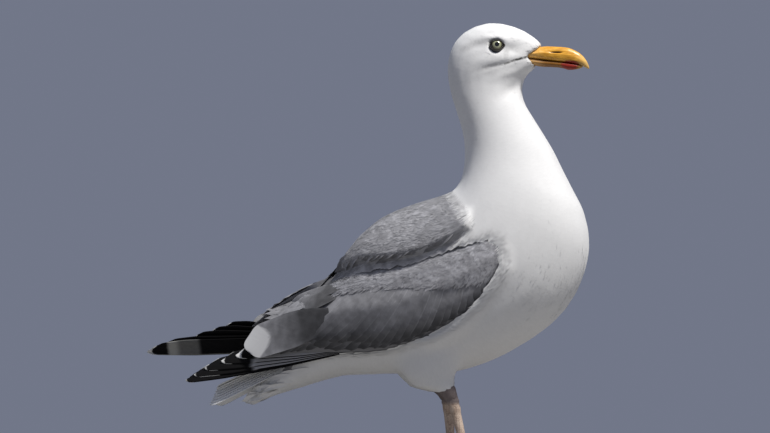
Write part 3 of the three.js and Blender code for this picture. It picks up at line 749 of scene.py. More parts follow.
def feather_mesh(name, batches, softness=0.86):
    """One mesh from batches of laid vanes, with vane and bake maps and the feathers' own values."""
    points, faces, facing, softly, vane_map, bake_map, values = [], [], [], [], [], [], {}
    offset = 0
    for batch in batches:
        spot, normal, hand = batch["laid"]
        vane = batch["vane"]
        count, size = spot.shape[:2]
        points.append(spot.reshape(-1, 3))
        facing.append(normal.reshape(-1, 3))
        softly.append(np.full(count * size, batch.get("softness", softness)))
        order = vane.faces[:, ::-1] if hand > 0 else vane.faces
        faces.append((order[None] + (np.arange(count) * size)[:, None, None] + offset).reshape(-1, 4))
        offset += count * size
        local = np.stack([(vane.across + 1) / 2, vane.along], 1)
        vane_map.append(np.tile(local, (count, 1)))
        patch = batch.get("patch", (0.003, 0.003))
        corner = batch.get("bake", None)
        corner = unwrapped(batch["roots"]) if corner is None else corner
        bake_map.append((corner[:, None] + (local - 0.5)[None] * np.array(patch)).reshape(-1, 2))
        for key, value in batch["values"].items():
            values.setdefault(key, []).append(np.repeat(value, size) if len(value) == count else value)
    points, faces, facing = np.concatenate(points), np.concatenate(faces), np.concatenate(facing)
    mesh = bpy.data.meshes.new(name)
    mesh.vertices.add(len(points))
    mesh.vertices.foreach_set("co", points.ravel())
    mesh.loops.add(len(faces) * 4)
    mesh.loops.foreach_set("vertex_index", faces.ravel())
    mesh.polygons.add(len(faces))
    mesh.polygons.foreach_set("loop_start", np.arange(len(faces)) * 4)
    mesh.polygons.foreach_set("loop_total", np.full(len(faces), 4))
    for label, parts in (("OFBake", bake_map), ("Vane", vane_map)):
        mesh.uv_layers.new(name=label).data.foreach_set("uv", np.concatenate(parts)[faces.ravel()].ravel())
    for key, parts in values.items():
        mesh.attributes.new(key, "FLOAT", "POINT").data.foreach_set("value", np.concatenate(parts))
    mesh.update(calc_edges=True)
    mesh.validate()
    mesh.shade_smooth()
    own = np.empty(len(points) * 3)
    mesh.vertex_normals.foreach_get("vector", own)
    softly = np.concatenate(softly)[:, None]
    blended = unit(facing * softly + own.reshape(-1, 3) * (1 - softly))
    mesh.normals_split_custom_set_from_vertices(blended.tolist())
    return mesh


def scattered(points, spacing, chance):
    """A seeded choice of points that keep at least the spacing given at each of them."""
    order = chance.permutation(len(points))
    cell = spacing.max()
    grid, kept = {}, []
    for index in order.tolist():
        point, gap = points[index], spacing[index]
        home = tuple((point // cell).astype(int))
        near = [
            other for dx in (-1, 0, 1) for dy in (-1, 0, 1) for dz in (-1, 0, 1)
            for other in grid.get((home[0] + dx, home[1] + dy, home[2] + dz), ())
        ]
        if not near or ((points[near] - point) ** 2).sum(1).min() > gap * gap:
            grid.setdefault(home, []).append(index)
            kept.append(index)
    return np.array(kept)


MANTLE_EDGE = [(-6, 286), (7, 273), (23, 257), (30, 241), (23, 228), (12, 215)]  # down the side, front of the grey
MANTLE_REAR = -128


def mantle_share(points):
    """How grey the coat is at frame places: the back and shoulders, behind a soft edge."""
    places = local_mm(points)
    edge = np.array(MANTLE_EDGE[::-1], float)
    front = np.interp(places[:, 2], edge[:, 1], edge[:, 0])
    behind = ramp(front - places[:, 0], -5, 9)
    above = ramp(places[:, 2] - np.interp(places[:, 0], [-140, -60, 20], [150, 190, 205]), -6, 4)
    before = ramp(places[:, 0], MANTLE_REAR - 6, MANTLE_REAR + 6)
    return behind * above * before * ramp(places[:, 2], 285, 275)


EYE_BARE = (7.4, 6.0)  # half the length and half the height of the bare place round the eye
BILL_CLEAR = 0.7
HEEL_BARE = 16.5
SMALLEST_GAP = 1.5

chance = np.random.default_rng(20)
bill_form = Form(cast_over("bill form", joined_copy(["bill_upper", "bill_lower"], 0.3 * MM), 0.9 * MM, 2))
places = local_mm(outer_form.points)
face_share = ramp(places[:, 0], 10, 75) * ramp(places[:, 2], 370, 395)
neck_share = ramp(places[:, 2], 262, 330) * (1 - face_share)
thigh_share = ramp(places[:, 2], 104, 92) * ramp(np.abs(places[:, 0] + 12), 50, 38)
spacing = 3.3 - 0.9 * neck_share - 1.8 * face_share - 1.1 * thigh_share * (1 - face_share)
spacing = np.maximum(spacing, SMALLEST_GAP) * MM

eye_gap = np.stack([places[:, 0] - EYE_PLACE[0] - 1.7, (places[:, 2] - EYE_PLACE[2] - 1)], 1) / np.array(EYE_BARE)
clear_of_eye = (eye_gap**2).sum(1) > 1
near_bill = np.array([bill_form.tree.find_nearest(point)[3] for point in outer_form.points.tolist()]) < BILL_CLEAR * MM
inside_bill = (places[:, 0] > 88) & near_bill
heel = heel_gap(outer_form.points) < HEEL_BARE
over_wing = np.array(
    [
        wing_form.tree.ray_cast((x, 0.3 if y > 0 else -0.3, z), (0, -1 if y > 0 else 1, 0))[0] is not None for x, y,
        z in bare_form.points.tolist()
    ]
)
under_shoulder = edge_gap(places, SHOULDER_EDGE)[0] < -1.5
vent_tip = places[:, 0] < -190
free_to_grow = clear_of_eye & ~vent_tip & ~near_bill & ~inside_bill & ~heel & (on_wing < 0.5) & ~(
    over_wing & under_shoulder
)
candidates = np.flatnonzero(free_to_grow)
chosen = candidates[scattered(outer_form.points[candidates], spacing[candidates], chance)]

# Each piece of the coat: its vane, its part of the body, the vane's length and half width as shares of
# the gap between roots, how low, high and domed it lies, and how unevenly it sinks.
GROUPS = [
    ("head_feathers", Vane(2, 4, fringe=0.05), places[chosen, 2] > 372, (4.6, 1.3), (-0.5, 0.10, 0.06), 0.03),
    (
        "neck_feathers", Vane(4, 5, fringe=0.06), (places[chosen, 2] > 262) & (places[chosen, 2] <= 372), (5.2, 1.3),
        (-0.9, 0.10, 0.06), 0.04
    ),
    (
        "breast_feathers", Vane(4, 5, fringe=0.06), (places[chosen, 2] <= 262) & (places[chosen, 0] > 40),
        (5.0, 1.25), (-1.1, 0.15, 0.12), 0.06
    ),
    (
        "belly_feathers", Vane(4, 5, fringe=0.06), (places[chosen, 2] <= 262) & (places[chosen, 0] <= 40),
        (5.0, 1.25), (-1.1, 0.15, 0.12), 0.06
    ),
]
coat_batches = {}
for name, vane, belongs, (long, wide), (low, high, dome), uneven in GROUPS:
    picked = chosen[belongs]
    roots = outer_form.points[picked]
    gaps = spacing[picked]
    vary = chance.uniform(-1, 1, (len(picked), 3))
    lengths = gaps * long * (1 + 0.10 * vary[:, 0])
    laid = lay_vanes(
        outer_form, roots, lie_at, lengths, gaps * wide * (1 + 0.08 * vary[:, 1]), vane, low, high, dome=dome,
        sink=uneven * vary[:, 2], crest=0.7, tuck=0.3
    )
    jitter = np.repeat(chance.normal(0, 2.2, len(picked)), len(vane.across))
    grey = mantle_share(laid[0].reshape(-1, 3) + np.stack([jitter * MM, 0 * jitter, 0 * jitter], 1))
    values = {
        "grey": grey, "own": (vary[:, 0] + 1) / 2, "tip": np.full(len(picked), 2.0), "painted_shading": np.zeros(len(picked))
    }
    coat_batches[name] = [{"laid": laid, "vane": vane, "roots": roots, "values": values, "softness": 0.93}]

# Loose wisps, finer than the vanes, lie over the borders of the grey back and wings, on the lower
# breast and, grey, all over the back.
wisp_vane, wisp_pattern = (Vane(1, 4, closing=0.6, root_width=0.6, narrow=0.05) for _ in range(2))
wisp_pattern.across, wisp_pattern.along = wisp_vane.across * 0.6, 0.5 + 0.4 * wisp_vane.along


def toward_wing(points):
    nearest = np.array([wing_form.tree.find_nearest(point)[0] for point in points.tolist()])
    gap = nearest - points
    return unit(lie_at(points) + 0.7 * gap / (np.linalg.norm(gap, axis=1, keepdims=True) + 2 * MM))


def wisps(form, roots, lie, length, high, grey, hand=1, painted_shading=0.0):
    """A batch of fine loose wisps, some for each root, scattered round it."""
    roots = roots + chance.normal(0, 0.8 * MM, roots.shape)
    vary = chance.uniform(-1, 1, (len(roots), 3))
    laid = lay_vanes(
        form, roots, lie, length * (1 + 0.35 * vary[:, 0]) * MM, (0.42 + 0.14 * vary[:, 1]) * MM, wisp_vane, -0.2,
        high, hand=hand, sink=0.3 * vary[:, 2]
    )
    values = {
        "grey": np.full(len(roots), float(grey)), "own": (vary[:, 2] + 1) / 2, "tip": np.full(len(roots), 2.0),
        "painted_shading": np.full(len(roots), painted_shading)
    }
    return {"laid": laid, "vane": wisp_pattern, "roots": roots, "values": values, "softness": 0.97}


by_wing = np.flatnonzero(
    free_to_grow & (near_wing > 0.5 * MM) & (near_wing < 8 * MM) & (places[:, 0] > -125)
    & (np.abs(outer_form.normals[:, 1]) > 0.35) & ((places[:, 2] < 158) | (places[:, 0] > 22))
)
by_mantle = np.flatnonzero(
    free_to_grow & (mantle_share(outer_form.points) < 0.3)
    & (mantle_share(outer_form.points - np.array([9 * MM, 0, 0])) > 0.7)
)
coat_batches["breast_feathers"].append(
    wisps(outer_form, np.repeat(outer_form.points[by_wing], 2, 0), toward_wing, 11, 1.0, 0)
)
coat_batches["breast_feathers"].append(
    wisps(outer_form, np.repeat(outer_form.points[by_mantle], 2, 0), lie_at, 10, 0.8, 0.3)
)
breast_height = places[chosen, 2] + chance.normal(0, 9, len(chosen))
loose = chosen[
    (breast_height > 168) & (breast_height < 212) & (places[chosen, 0] > 20) & (chance.random(len(chosen)) < 0.6)
]
coat_batches["breast_feathers"].append(
    wisps(outer_form, outer_form.points[loose], lie_at, 11, 0.5, 0) | {"softness": 0.9}
)
on_mantle = np.flatnonzero(free_to_grow & (mantle_share(outer_form.points) > 0.6))
coat_batches["mantle_down"] = [wisps(outer_form, np.repeat(outer_form.points[on_mantle], 2, 0), lie_at, 8, 0.75, 1)]


def node_group(name, inputs, output):
    """A shader node group with float inputs and one float output: its nodes, and its input sockets."""
    tree = bpy.data.node_groups.new(name, "ShaderNodeTree")
    for key in inputs:
        tree.interface.new_socket(key, in_out="INPUT", socket_type="NodeSocketFloat")
    tree.interface.new_socket(output, in_out="OUTPUT", socket_type="NodeSocketFloat")
    nodes = Nodes(tree)
    return nodes, nodes.add("NodeGroupInput").outputs


def barb_group():
    """The fine slanting barbs on both webs of a vane, as a grain from 0 to 1."""
    nodes, given = node_group("barbs", ("Across", "Along", "Own", "Count", "Slant"), "Grain")
    sideways = nodes.math("ABSOLUTE", nodes.math("SUBTRACT", given["Across"], 0.5))
    slanted = nodes.math("SUBTRACT", given["Along"], nodes.math("MULTIPLY", sideways, given["Slant"]))
    place = {
        0: nodes.math("MULTIPLY", slanted, given["Count"]), 1: nodes.math("MULTIPLY", sideways, 1.2),
        2: nodes.math("MULTIPLY", given["Own"], 40.0)
    }
    nodes.add("NodeGroupOutput", {"Grain": nodes.noise(nodes.add("ShaderNodeCombineXYZ", place).outputs[0], 3.0, 3.0)})
    return nodes.tree


# Painted shade on the face: dusky lines in the crease of the gape and round the eye, each between two side-view places,
# with its half width and strength.
FACE_SHADE_LINES = [
    ((84, 411.5), (68, 406.6), 1.15, 0.95), ((68, 406.6), (59, 403), 1.1, 0.7), ((59, 403), (38, 400), 1.6, 0.25),
    ((62, 420), (60, 410), 2.6, 0.20), ((66, 419), (80, 414), 3.2, 0.16), ((42, 426), (30, 425), 2.6, 0.22),
    ((30, 425), (16, 418), 3.4, 0.14), ((44, 411), (56, 409), 2.4, 0.12), ((20, 402), (48, 395), 4.0, 0.10),
]


def face_shade_group():
    """How dark the painted shade on the face is at a place on the bird, from 0 to 1."""
    nodes, _ = node_group("face marks", (), "Share")
    local = nodes.moved(nodes.object_place(), location=-at(0, 0, 0) * 1000, scale=(1000, 1000, 1000))
    x, _, z = nodes.axes(local)
    rough = nodes.ramp(nodes.noise(local, 0.35, 3.0), 0.3, 0.7, 0.6, 1.25)
    total = 0.0
    for (x1, z1), (x2, z2), breadth, strength in FACE_SHADE_LINES:
        run = math.hypot(x2 - x1, z2 - z1)
        way = ((x2 - x1) / run, (z2 - z1) / run)
        dx, dz = nodes.math("SUBTRACT", x, x1), nodes.math("SUBTRACT", z, z1)
        along = nodes.math("ADD", nodes.math("MULTIPLY", dx, way[0]), nodes.math("MULTIPLY", dz, way[1]))
        over = nodes.math("SUBTRACT", along, nodes.math("MINIMUM", nodes.math("MAXIMUM", along, 0.0), run))
        across = nodes.math("SUBTRACT", nodes.math("MULTIPLY", dx, way[1]), nodes.math("MULTIPLY", dz, way[0]))
        gap = nodes.math(
            "SQRT", nodes.math("ADD", nodes.math("MULTIPLY", over, over), nodes.math("MULTIPLY", across, across))
        )
        total = nodes.math("MAXIMUM", total, nodes.ramp(gap, breadth * 1.7, breadth * 0.3, 0.0, strength))
    nodes.add("NodeGroupOutput", {"Share": nodes.math("MULTIPLY", total, rough, clamp=True)})
    return nodes.tree


BARBS, PAINTED_FACE_SHADE = barb_group(), face_shade_group()


def feather_material(name, grey_colour=(0.345, 0.345, 0.365), white_colour=(0.78, 0.78, 0.775)):
    """Soft vanes: white or grey by the feather's own value, paler at the edge, streaked by barbs, with painted shade
    where the painted_shading value is above nothing and painted light where it is below.
    """
    material = new_material(name, 0.78, Specular_IOR_Level=0.25, Sheen_Weight=0.12, Sheen_Roughness=0.5)
    nodes = Nodes(material.node_tree)
    across, along, _ = nodes.axes(nodes.add("ShaderNodeUVMap", uv_map="Vane").outputs["UV"])
    read = {
        key: nodes.add("ShaderNodeAttribute", attribute_name=key).outputs["Fac"]
        for key in ("grey", "own", "tip", "painted_shading")
    }
    barb = nodes.add(
        "ShaderNodeGroup", {"Across": across, "Along": along, "Own": read["own"], "Count": 9.0, "Slant": 0.5},
        node_tree=BARBS
    ).outputs[0]
    painted_face_shade = nodes.add("ShaderNodeGroup", node_tree=PAINTED_FACE_SHADE).outputs[0]
    sideways = nodes.math("ABSOLUTE", nodes.math("SUBTRACT", across, 0.5))
    mottle = nodes.noise(nodes.object_place(), 110.0, 4.0)
    tone = nodes.math("ADD", nodes.math("MULTIPLY", barb, 0.16), nodes.math("MULTIPLY", read["own"], 0.10))
    tone = nodes.math("ADD", tone, nodes.math("MULTIPLY", mottle, 0.12))
    tone = nodes.math("ADD", tone, nodes.ramp(along, 0.25, 0.95, 0.62, 0.88))
    rim = nodes.math("ADD", nodes.ramp(sideways, 0.36, 0.5), nodes.ramp(along, 0.86, 1.0))
    grey = nodes.mix(
        nodes.math("MULTIPLY", rim, 0.42, clamp=True), grey_colour, tuple(min(1, 1.75 * part) for part in grey_colour)
    )
    uneven = nodes.ramp(mottle, 0.3, 0.7, 0.80, 1.12)
    # painted shade: the painted_shading value darkens each vane towards its tip, and lightens it where negative
    painted_shading_factor = nodes.math(
        "SUBTRACT", 1.0, nodes.math("MULTIPLY", read["painted_shading"], nodes.ramp(along, 0.35, 0.95, 0.12, 0.92))
    )
    shade = nodes.math("MULTIPLY", tone, nodes.math("MULTIPLY", uneven, painted_shading_factor))
    grey = nodes.mix(
        1.0, grey, nodes.add("ShaderNodeCombineColor", {0: shade, 1: shade, 2: shade}).outputs[0], "MULTIPLY"
    )
    soft_tone = nodes.math("ADD", nodes.math("MULTIPLY", tone, 0.22), 0.78)
    white = nodes.mix(
        1.0, white_colour, nodes.add("ShaderNodeCombineColor", {0: soft_tone, 1: soft_tone, 2: soft_tone}).outputs[0],
        "MULTIPLY"
    )
    # painted shade on white too: white tips darken by the painted_shading value
    white = nodes.mix(nodes.math("MULTIPLY", read["painted_shading"], 0.7), white, (0.32, 0.32, 0.33))
    # painted shade of the face: dusky lines in the gape's crease and round the eye
    white = nodes.mix(painted_face_shade, white, (0.05, 0.048, 0.045))
    frayed = nodes.math("ADD", along, nodes.math("MULTIPLY", nodes.math("SUBTRACT", barb, 0.5), 0.05))
    tipped = nodes.ramp(nodes.math("SUBTRACT", frayed, read["tip"]), -0.03, 0.03)
    share = nodes.math("MULTIPLY", read["grey"], nodes.math("SUBTRACT", 1.0, tipped))
    wire(material, Base_Color=nodes.mix(share, white, grey), Normal=nodes.bump(barb, 0.18, 0.0006))
    return material


# painted light: the back's grey is set paler than the wings' grey, as the top of the back is lit from above.
plumage = feather_material("soft plumage", grey_colour=(0.40, 0.40, 0.42))
for name, batches in coat_batches.items():
    place_piece(
        bpy.data.objects.new(name, feather_mesh(name, batches)),
        "grey_feather" if name == "mantle_down" else "white_feather", plumage
    )

# ------------------------------------------------------------------ folded wings
# Each folded wing is shingled in rows: secondaries lowest, then greater, median and lesser coverts,
# with the long white-tipped tertials closing over its rear. Vanes are rooted along the arm inside.

FAR_WING = {"stretch": 8, "lift": 12}  # how the left wing's rear lies further back and higher


def wing_places(spots, side):
    """Side-view places on a wing, moved with the rear of the left one, in the frame's metres."""
    spots = np.array(spots, float)
    rear = ramp(-spots[:, 0], 70, 190) * (side > 0)
    xs, zs = spots[:, 0] - FAR_WING["stretch"] * rear, spots[:, 1] + FAR_WING["lift"] * rear
    return np.array(at(0, 0, 0)) + np.stack([xs, np.full(len(xs), side * 40.0), zs], 1) * MM


def along_line(line, gap):
    """Evenly spaced places on a side-view line, and how far along it each one is."""
    line = np.array(line, float)
    runs = np.linalg.norm(np.diff(line, axis=0), axis=1)
    length = np.concatenate([[0], np.cumsum(runs)])
    stops = np.linspace(0, length[-1], max(int(round(length[-1] / gap)), 2))
    return np.stack([np.interp(stops, length, line[:, axis]) for axis in (0, 1)], 1), stops / length[-1]


# Rows from the lowest layer up. Each line of roots runs from the wrist rearwards.
# gap, length and half width of a vane; turn is the way it points at the front and at the rear.
# painted_shading gives painted shade, darkest on the secondaries and greater coverts where the folded wing curves
# under.
WING_ROWS = [
    {
        "line": [(20, 172), (-15, 168), (-60, 166), (-100, 160), (-116, 155)], "gap": 7, "length": (60, 104),
        "past_edge": 1.5, "half_width": (6, 8.5), "turn": (252, 206), "high": 0.4, "tip": (2, 2), "painted_shading": 0.95,
        "softness": 0.6
    },
    {
        "line": [(54, 200), (44, 191), (18, 187), (-20, 187), (-60, 186), (-105, 180), (-116, 176)], "gap": 5.6,
        "length": (60, 112), "past_edge": 0.8, "half_width": (4.6, 7.4), "turn": (266, 212), "high": 0.7,
        "tip": (2, 2), "painted_shading": 0.9, "softness": 0.65
    },
    {
        "line": [(56, 208), (42, 198), (12, 195), (-25, 195), (-60, 194), (-112, 188)], "gap": 5.4,
        "length": (15, 19, 22, 24, 25), "half_width": (4.4, 5.8), "turn": (250, 218), "high": 0.5, "tip": (2, 2),
        "painted_shading": 0.2, "softness": 0.95, "tuck": 0.6, "dome": 0.15, "roll": 0.1
    },
]
LESSER_FLOOR = [(-135, 182), (-108, 190), (-60, 199), (-25, 199), (12, 199), (42, 202), (57, 212), (64, 232)]
LESSER = {"gap": 4.6, "length": 14.5, "half_width": 4.7}

# Tertials from the longest, lowest one up: root, tip, half width, and the length of the white tip.
TERTIALS = [
    ((-112, 152), (-203.5, 123), 18.5, 25),
    ((-102, 176), (-178, 153), 11, -9),
    ((-98, 185), (-167, 163), 10.5, -9),
    ((-94, 193), (-153, 173), 9.5, -9),
]
TERTIAL_HEIGHTS = (2.5, 2.3, 2.6, 2.9)
# Painted shade along each tertial, strongest at the root.
TERTIAL_SHADE = ((0, 0.35, 0.4, 0.5, 0.6, 0.7, 1), (6, 6, 3.8, 1.6, 0.88, 0.48, 0.4))  # darkest at the root
ROOF = {"gap": 7.5, "length": 33, "half_width": 6.5, "middle": -113, "reach": 51, "inner": 11}  # over each wing's top


def pointing(turn_front, turn_rear, front_x, rear_x):
    """A lie that turns evenly from the front of a row to its rear."""

    def lie(points):
        share = np.clip((front_x - local_mm(points)[:, 0]) / (front_x - rear_x), 0, 1)
        turn = np.radians(turn_front + (turn_rear - turn_front) * share)
        return np.stack([np.cos(turn), np.zeros_like(turn), np.sin(turn)], 1)

    return lie


def reach_to_edge(form, roots, lie, side, farthest):
    """How far each root is from the form's edge in the way its vane points, seen from the side."""
    place, run = roots.copy(), np.zeros(len(roots))
    inside = np.ones(len(roots), bool)
    while run.max() < farthest and inside.any():
        place = place + lie(place) * MM
        hits = [form.tree.ray_cast((x, side * 0.3, z), (0, -side, 0), 0.3)[0] is not None for x, _, z in place.tolist()]
        inside &= np.array(hits)
        run += inside * MM
    return run


def straight_path(form, root, tip, side, steps):
    """The middle line of a stiff feather seen straight from the side, held just off the form."""
    share = np.linspace(0, 1, steps + 1)
    line = root + (tip - root) * share[:, None]
    found, normals = form.under(line, side)
    on_form = np.linalg.norm((found - line)[:, [0, 2]], axis=1) < 0.5 * MM
    line[:, 1] = np.polyval(np.polyfit(share[on_form], found[on_form, 1], 2 if on_form.sum() > 4 else 1), share)
    normals = unit(
        np.stack([np.polyval(np.polyfit(share[on_form], normals[on_form, axis], 1), share) for axis in range(3)], 1)
    )
    ways = unit(np.gradient(line, axis=0))
    return (line[None], normals[None], ways[None]), np.linalg.norm(tip - root)


covert_vane = Vane(6, 7, closing=0.42, root_width=0.5, fringe=0.03)
tertial_vane = Vane(8, 16, closing=0.22, root_width=0.5, narrow=0.3, crowd=1.4, bow=0.05)
last_vane = Vane(8, 16, closing=0.20, root_width=0.5, narrow=0.55, crowd=1.4, bow=0.06)
roof_vane = Vane(6, 8, closing=0.45, root_width=0.5, narrow=0.1)
long_vane = Vane(6, 12, closing=0.16, root_width=0.5, fringe=0.012)
wing_plumage = feather_material("wing plumage")
for side, name in ((1, "left"), (-1, "right")):
    covert_batches = []
    for row in WING_ROWS:
        spots, share = along_line(row["line"], row["gap"])
        vary = chance.uniform(-1, 1, (len(spots), 3))
        spots = spots + vary[:, :2] * row["gap"] * 0.10
        roots, _ = wing_form.under(wing_places(spots, side), side)
        whites = np.interp(share, np.linspace(0, 1, len(row["tip"])), row["tip"])
        uneven = 0.04 if "past_edge" in row else 0.2
        lengths = np.interp(
            share, np.linspace(0, 1, len(row["length"])), row["length"]
        ) * (1 + uneven * vary[:, 2]) * MM
        widths = (row["half_width"][0] + (row["half_width"][1] - row["half_width"][0]) * share) * MM
        vane = long_vane if "past_edge" in row else covert_vane
        lie = pointing(*row["turn"], row["line"][0][0], row["line"][-1][0])
        if "past_edge" in row:
            lengths = np.minimum(
                lengths, reach_to_edge(wing_form, roots, lie, side, 0.1) + (row["past_edge"] + vary[:, 2]) * MM
            )
            whole = (share < 0.8) | (lengths > 45 * MM)
            roots, whites, lengths, widths, vary = (part[whole] for part in (roots, whites, lengths, widths, vary))
        laid = lay_vanes(
            wing_form, roots, lie, lengths, widths, vane, -0.5, row["high"], hand=-side, dome=row.get("dome", 0.35),
            roll=row.get("roll", 0.3), steps=8, sink=0.12 * vary[:, 2], crest=0.8, tuck=row.get("tuck", 0.35)
        )
        values = {
            "grey": np.ones(len(roots)), "own": (vary[:, 2] + 1) / 2, "tip": whites,
            "painted_shading": np.full(len(roots), row["painted_shading"])
        }
        covert_batches.append(
            {"softness": row["softness"], "laid": laid, "vane": vane, "roots": roots, "values": values}
        )
    outside = wing_form.normals[:, 1] * side > 0.25
    unmoved = wing_form.points.copy()
    rear = ramp(-local_mm(unmoved)[:, 0], 70, 190) * (side > 0)
    unmoved += np.stack([FAR_WING["stretch"] * rear, 0 * rear, -FAR_WING["lift"] * rear], 1) * MM
    below, _ = edge_gap(local_mm(unmoved), LESSER_FLOOR[::-1])
    hidden, _ = edge_gap(local_mm(unmoved), SHOULDER_EDGE)
    spots = np.flatnonzero(outside & (below < 0) & (hidden < 10) & (wing_form.points[:, 1] * side > 0))
    spots = spots[scattered(wing_form.points[spots], np.full(len(spots), LESSER["gap"] * MM), chance)]
    roots = wing_form.points[spots]
    vary = chance.uniform(-1, 1, (len(spots), 4))
    lie = pointing(240, 218, 62, -130)
    laid = lay_vanes(
        wing_form, roots, lie, LESSER["length"] * (1 + 0.25 * vary[:, 0]) * MM,
        LESSER["half_width"] * (1 + 0.12 * vary[:, 1]) * MM, covert_vane, -0.7, 0.65, hand=-side, dome=0.3, roll=0.1,
        steps=4, sink=0.2 * vary[:, 2], crest=0.8, tuck=0.35
    )
    # painted light: a negative painted_shading lightens the lesser coverts towards the top of the wing.
    values = {
        "grey": np.ones(len(roots)), "own": (vary[:, 3] + 1) / 2, "tip": np.full(len(roots), 2.0),
        "painted_shading": np.interp(local_mm(roots)[:, 2], [192, 208], [0, -0.45])
    }
    covert_batches.append({"softness": 0.85, "laid": laid, "vane": covert_vane, "roots": roots, "values": values})
    downy = np.flatnonzero(outside & (below < 14) & (hidden < 8) & (wing_form.points[:, 1] * side > 0))
    covert_batches.append(wisps(wing_form, np.repeat(wing_form.points[downy], 2, 0), lie, 8, 1.1, 1, -side, -0.2))
    for index, (root, tip, half_width, white) in enumerate(TERTIALS):
        tip = (tip[0] + 6, tip[1] - 8) if side > 0 and index else tip  # the far ones stay behind its edge
        path, length = straight_path(wing_form, *wing_places([root, tip], side), side, 10)
        laid = lay_vanes(
            wing_form, path[0][:, 0], None, np.array([length]), np.array([half_width * MM]),
            tertial_vane if index else last_vane, 0.2, TERTIAL_HEIGHTS[index], hand=-side, dome=1.6, roll=0.5,
            steps=10, stiff=True, path=path
        )
        values = {
            "grey": np.ones(1), "own": np.array([index / 8]),
            "tip": 1 - white * MM / length * (0.55 + 0.6 * (1 - tertial_vane.across**2)),
            "painted_shading": np.interp(tertial_vane.along, *TERTIAL_SHADE)
        }
        covert_batches.append(
            {
                "laid": laid, "vane": tertial_vane, "roots": path[0][:, 0], "values": values, "patch": (0.012, 0.03),
                "softness": 0.45
            }
        )
    spots = np.flatnonzero(
        (outer_form.normals[:, 1] * side < 0.5) & (on_wing > 0.3)
        & (outer_form.points[:, 1] * side > ROOF["inner"] * MM)
        & (np.abs(local_mm(outer_form.points)[:, 0] - ROOF["middle"]) < ROOF["reach"])
    )
    sky = [
        outer_form.tree.ray_cast(
            tuple(outer_form.points[spot] + outer_form.normals[spot] * 2 * MM), (0, -side * 0.35, 1)
        )[0] is None
        for spot in spots
    ]
    spots = spots[np.array(sky)]
    spots = spots[scattered(outer_form.points[spots], np.full(len(spots), ROOF["gap"] * MM), chance)]
    vary = chance.uniform(-1, 1, (len(spots), 4))
    roots = outer_form.points[spots]
    laid = lay_vanes(
        outer_form, roots, pointing(214, 207, -60, -190), ROOF["length"] * (1 + 0.15 * vary[:, 0]) * MM,
        ROOF["half_width"] * (1 + 0.1 * vary[:, 1]) * MM, roof_vane, -0.7, 0.9, hand=-side, dome=0.5, roll=0.2,
        steps=6, sink=0.2 * vary[:, 2], crest=0.8, tuck=0.4, cling=0
    )
    # painted shade on the roof feathers over each wing's top.
    values = {
        "grey": np.ones(len(roots)), "own": (vary[:, 3] + 1) / 2, "tip": np.full(len(roots), 0.98),
        "painted_shading": np.full(len(roots), 0.4)
    }
    covert_batches.append({"softness": 0.75, "laid": laid, "vane": roof_vane, "roots": roots, "values": values})
    place_piece(
        bpy.data.objects.new(f"wing_feathers_{name}", feather_mesh(f"wing_feathers_{name}", covert_batches, 0.6)),
        "grey_feather", wing_plumage
    )

# ------------------------------------------------------------------ back
# Broad soft feathers of the lower back bridge the hollow between the two folded wings, row over row.

BACK = {"rows": (-62, -150, 8.0), "side": 15.0, "length": 46, "half_width": 9.5, "below_wings": 1.6}


def wing_crest(side):
    """How high the inner side of a wing is along the back, as a smooth curve."""
    along = np.arange(-55, -185, -3.0)
    hits = [outer_form.tree.ray_cast(tuple(at(x, side * BACK["side"], 400)), (0, 0, -1))[0] for x in along]
    seen = np.array([hit is not None for hit in hits])
    return np.polyfit(along[seen], [hit[2] / MM for hit in hits if hit is not None], 3)


crests = {side: wing_crest(side) for side in (1, -1)}
roots, back_paths = [], ([], [], [])
for row, x in enumerate(np.arange(BACK["rows"][0], BACK["rows"][1], -BACK["rows"][2])):
    for y in ((-12, -4, 4, 12) if row % 2 else (-8, 0, 8)):
        share = np.linspace(0, 1, 8)
        xs = x + chance.uniform(-1.5, 1.5) - BACK["length"] * share
        right, left = (np.polyval(crests[side], xs) for side in (-1, 1))
        middle = (y + BACK["side"]) / (2 * BACK["side"])
        under_mantle = np.interp(-xs, [60, 105], [5, 0])
        zs = right + (left - right) * middle - BACK["below_wings"] + 1.8 * share - abs(y) * 0.05 - under_mantle
        line = np.array(at(0, 0, 0)) + np.stack([xs, np.full(8, y + chance.uniform(-1, 1)), zs], 1) * MM
        ways = unit(np.gradient(line, axis=0))
        sideways = unit(np.stack([0 * xs, np.full(8, 2 * BACK["side"]), left - right], 1))
        for part, value in zip(back_paths, (line, unit(np.cross(sideways, ways)), ways)):
            part.append(value)
        roots.append(line[0])
roots = np.array(roots)
vary = chance.uniform(-1, 1, (len(roots), 2))
back_path = tuple(np.stack(part) for part in back_paths)
laid = lay_vanes(
    outer_form, roots, None, np.full(len(roots), BACK["length"] * MM),
    BACK["half_width"] * (1 + 0.1 * vary[:, 0]) * MM, roof_vane, 0, 0.4, dome=0.4, roll=0.1, steps=7, stiff=True,
    path=back_path
)
# painted shade on the back feathers in the hollow between the wings.
values = {
    "grey": np.ones(len(roots)), "own": (vary[:, 1] + 1) / 2, "tip": np.full(len(roots), 2.0),
    "painted_shading": np.full(len(roots), 0.5)
}
back_batch = {"laid": laid, "vane": roof_vane, "roots": roots, "values": values, "softness": 0.8}
place_piece(
    bpy.data.objects.new("back_feathers", feather_mesh("back_feathers", [back_batch])), "grey_feather", wing_plumage
)

# ------------------------------------------------------------------ shoulders
# Long scapular feathers lie over the shoulder in three rows and overhang the top of the folded wing,
# their pointed tips making its jagged border.

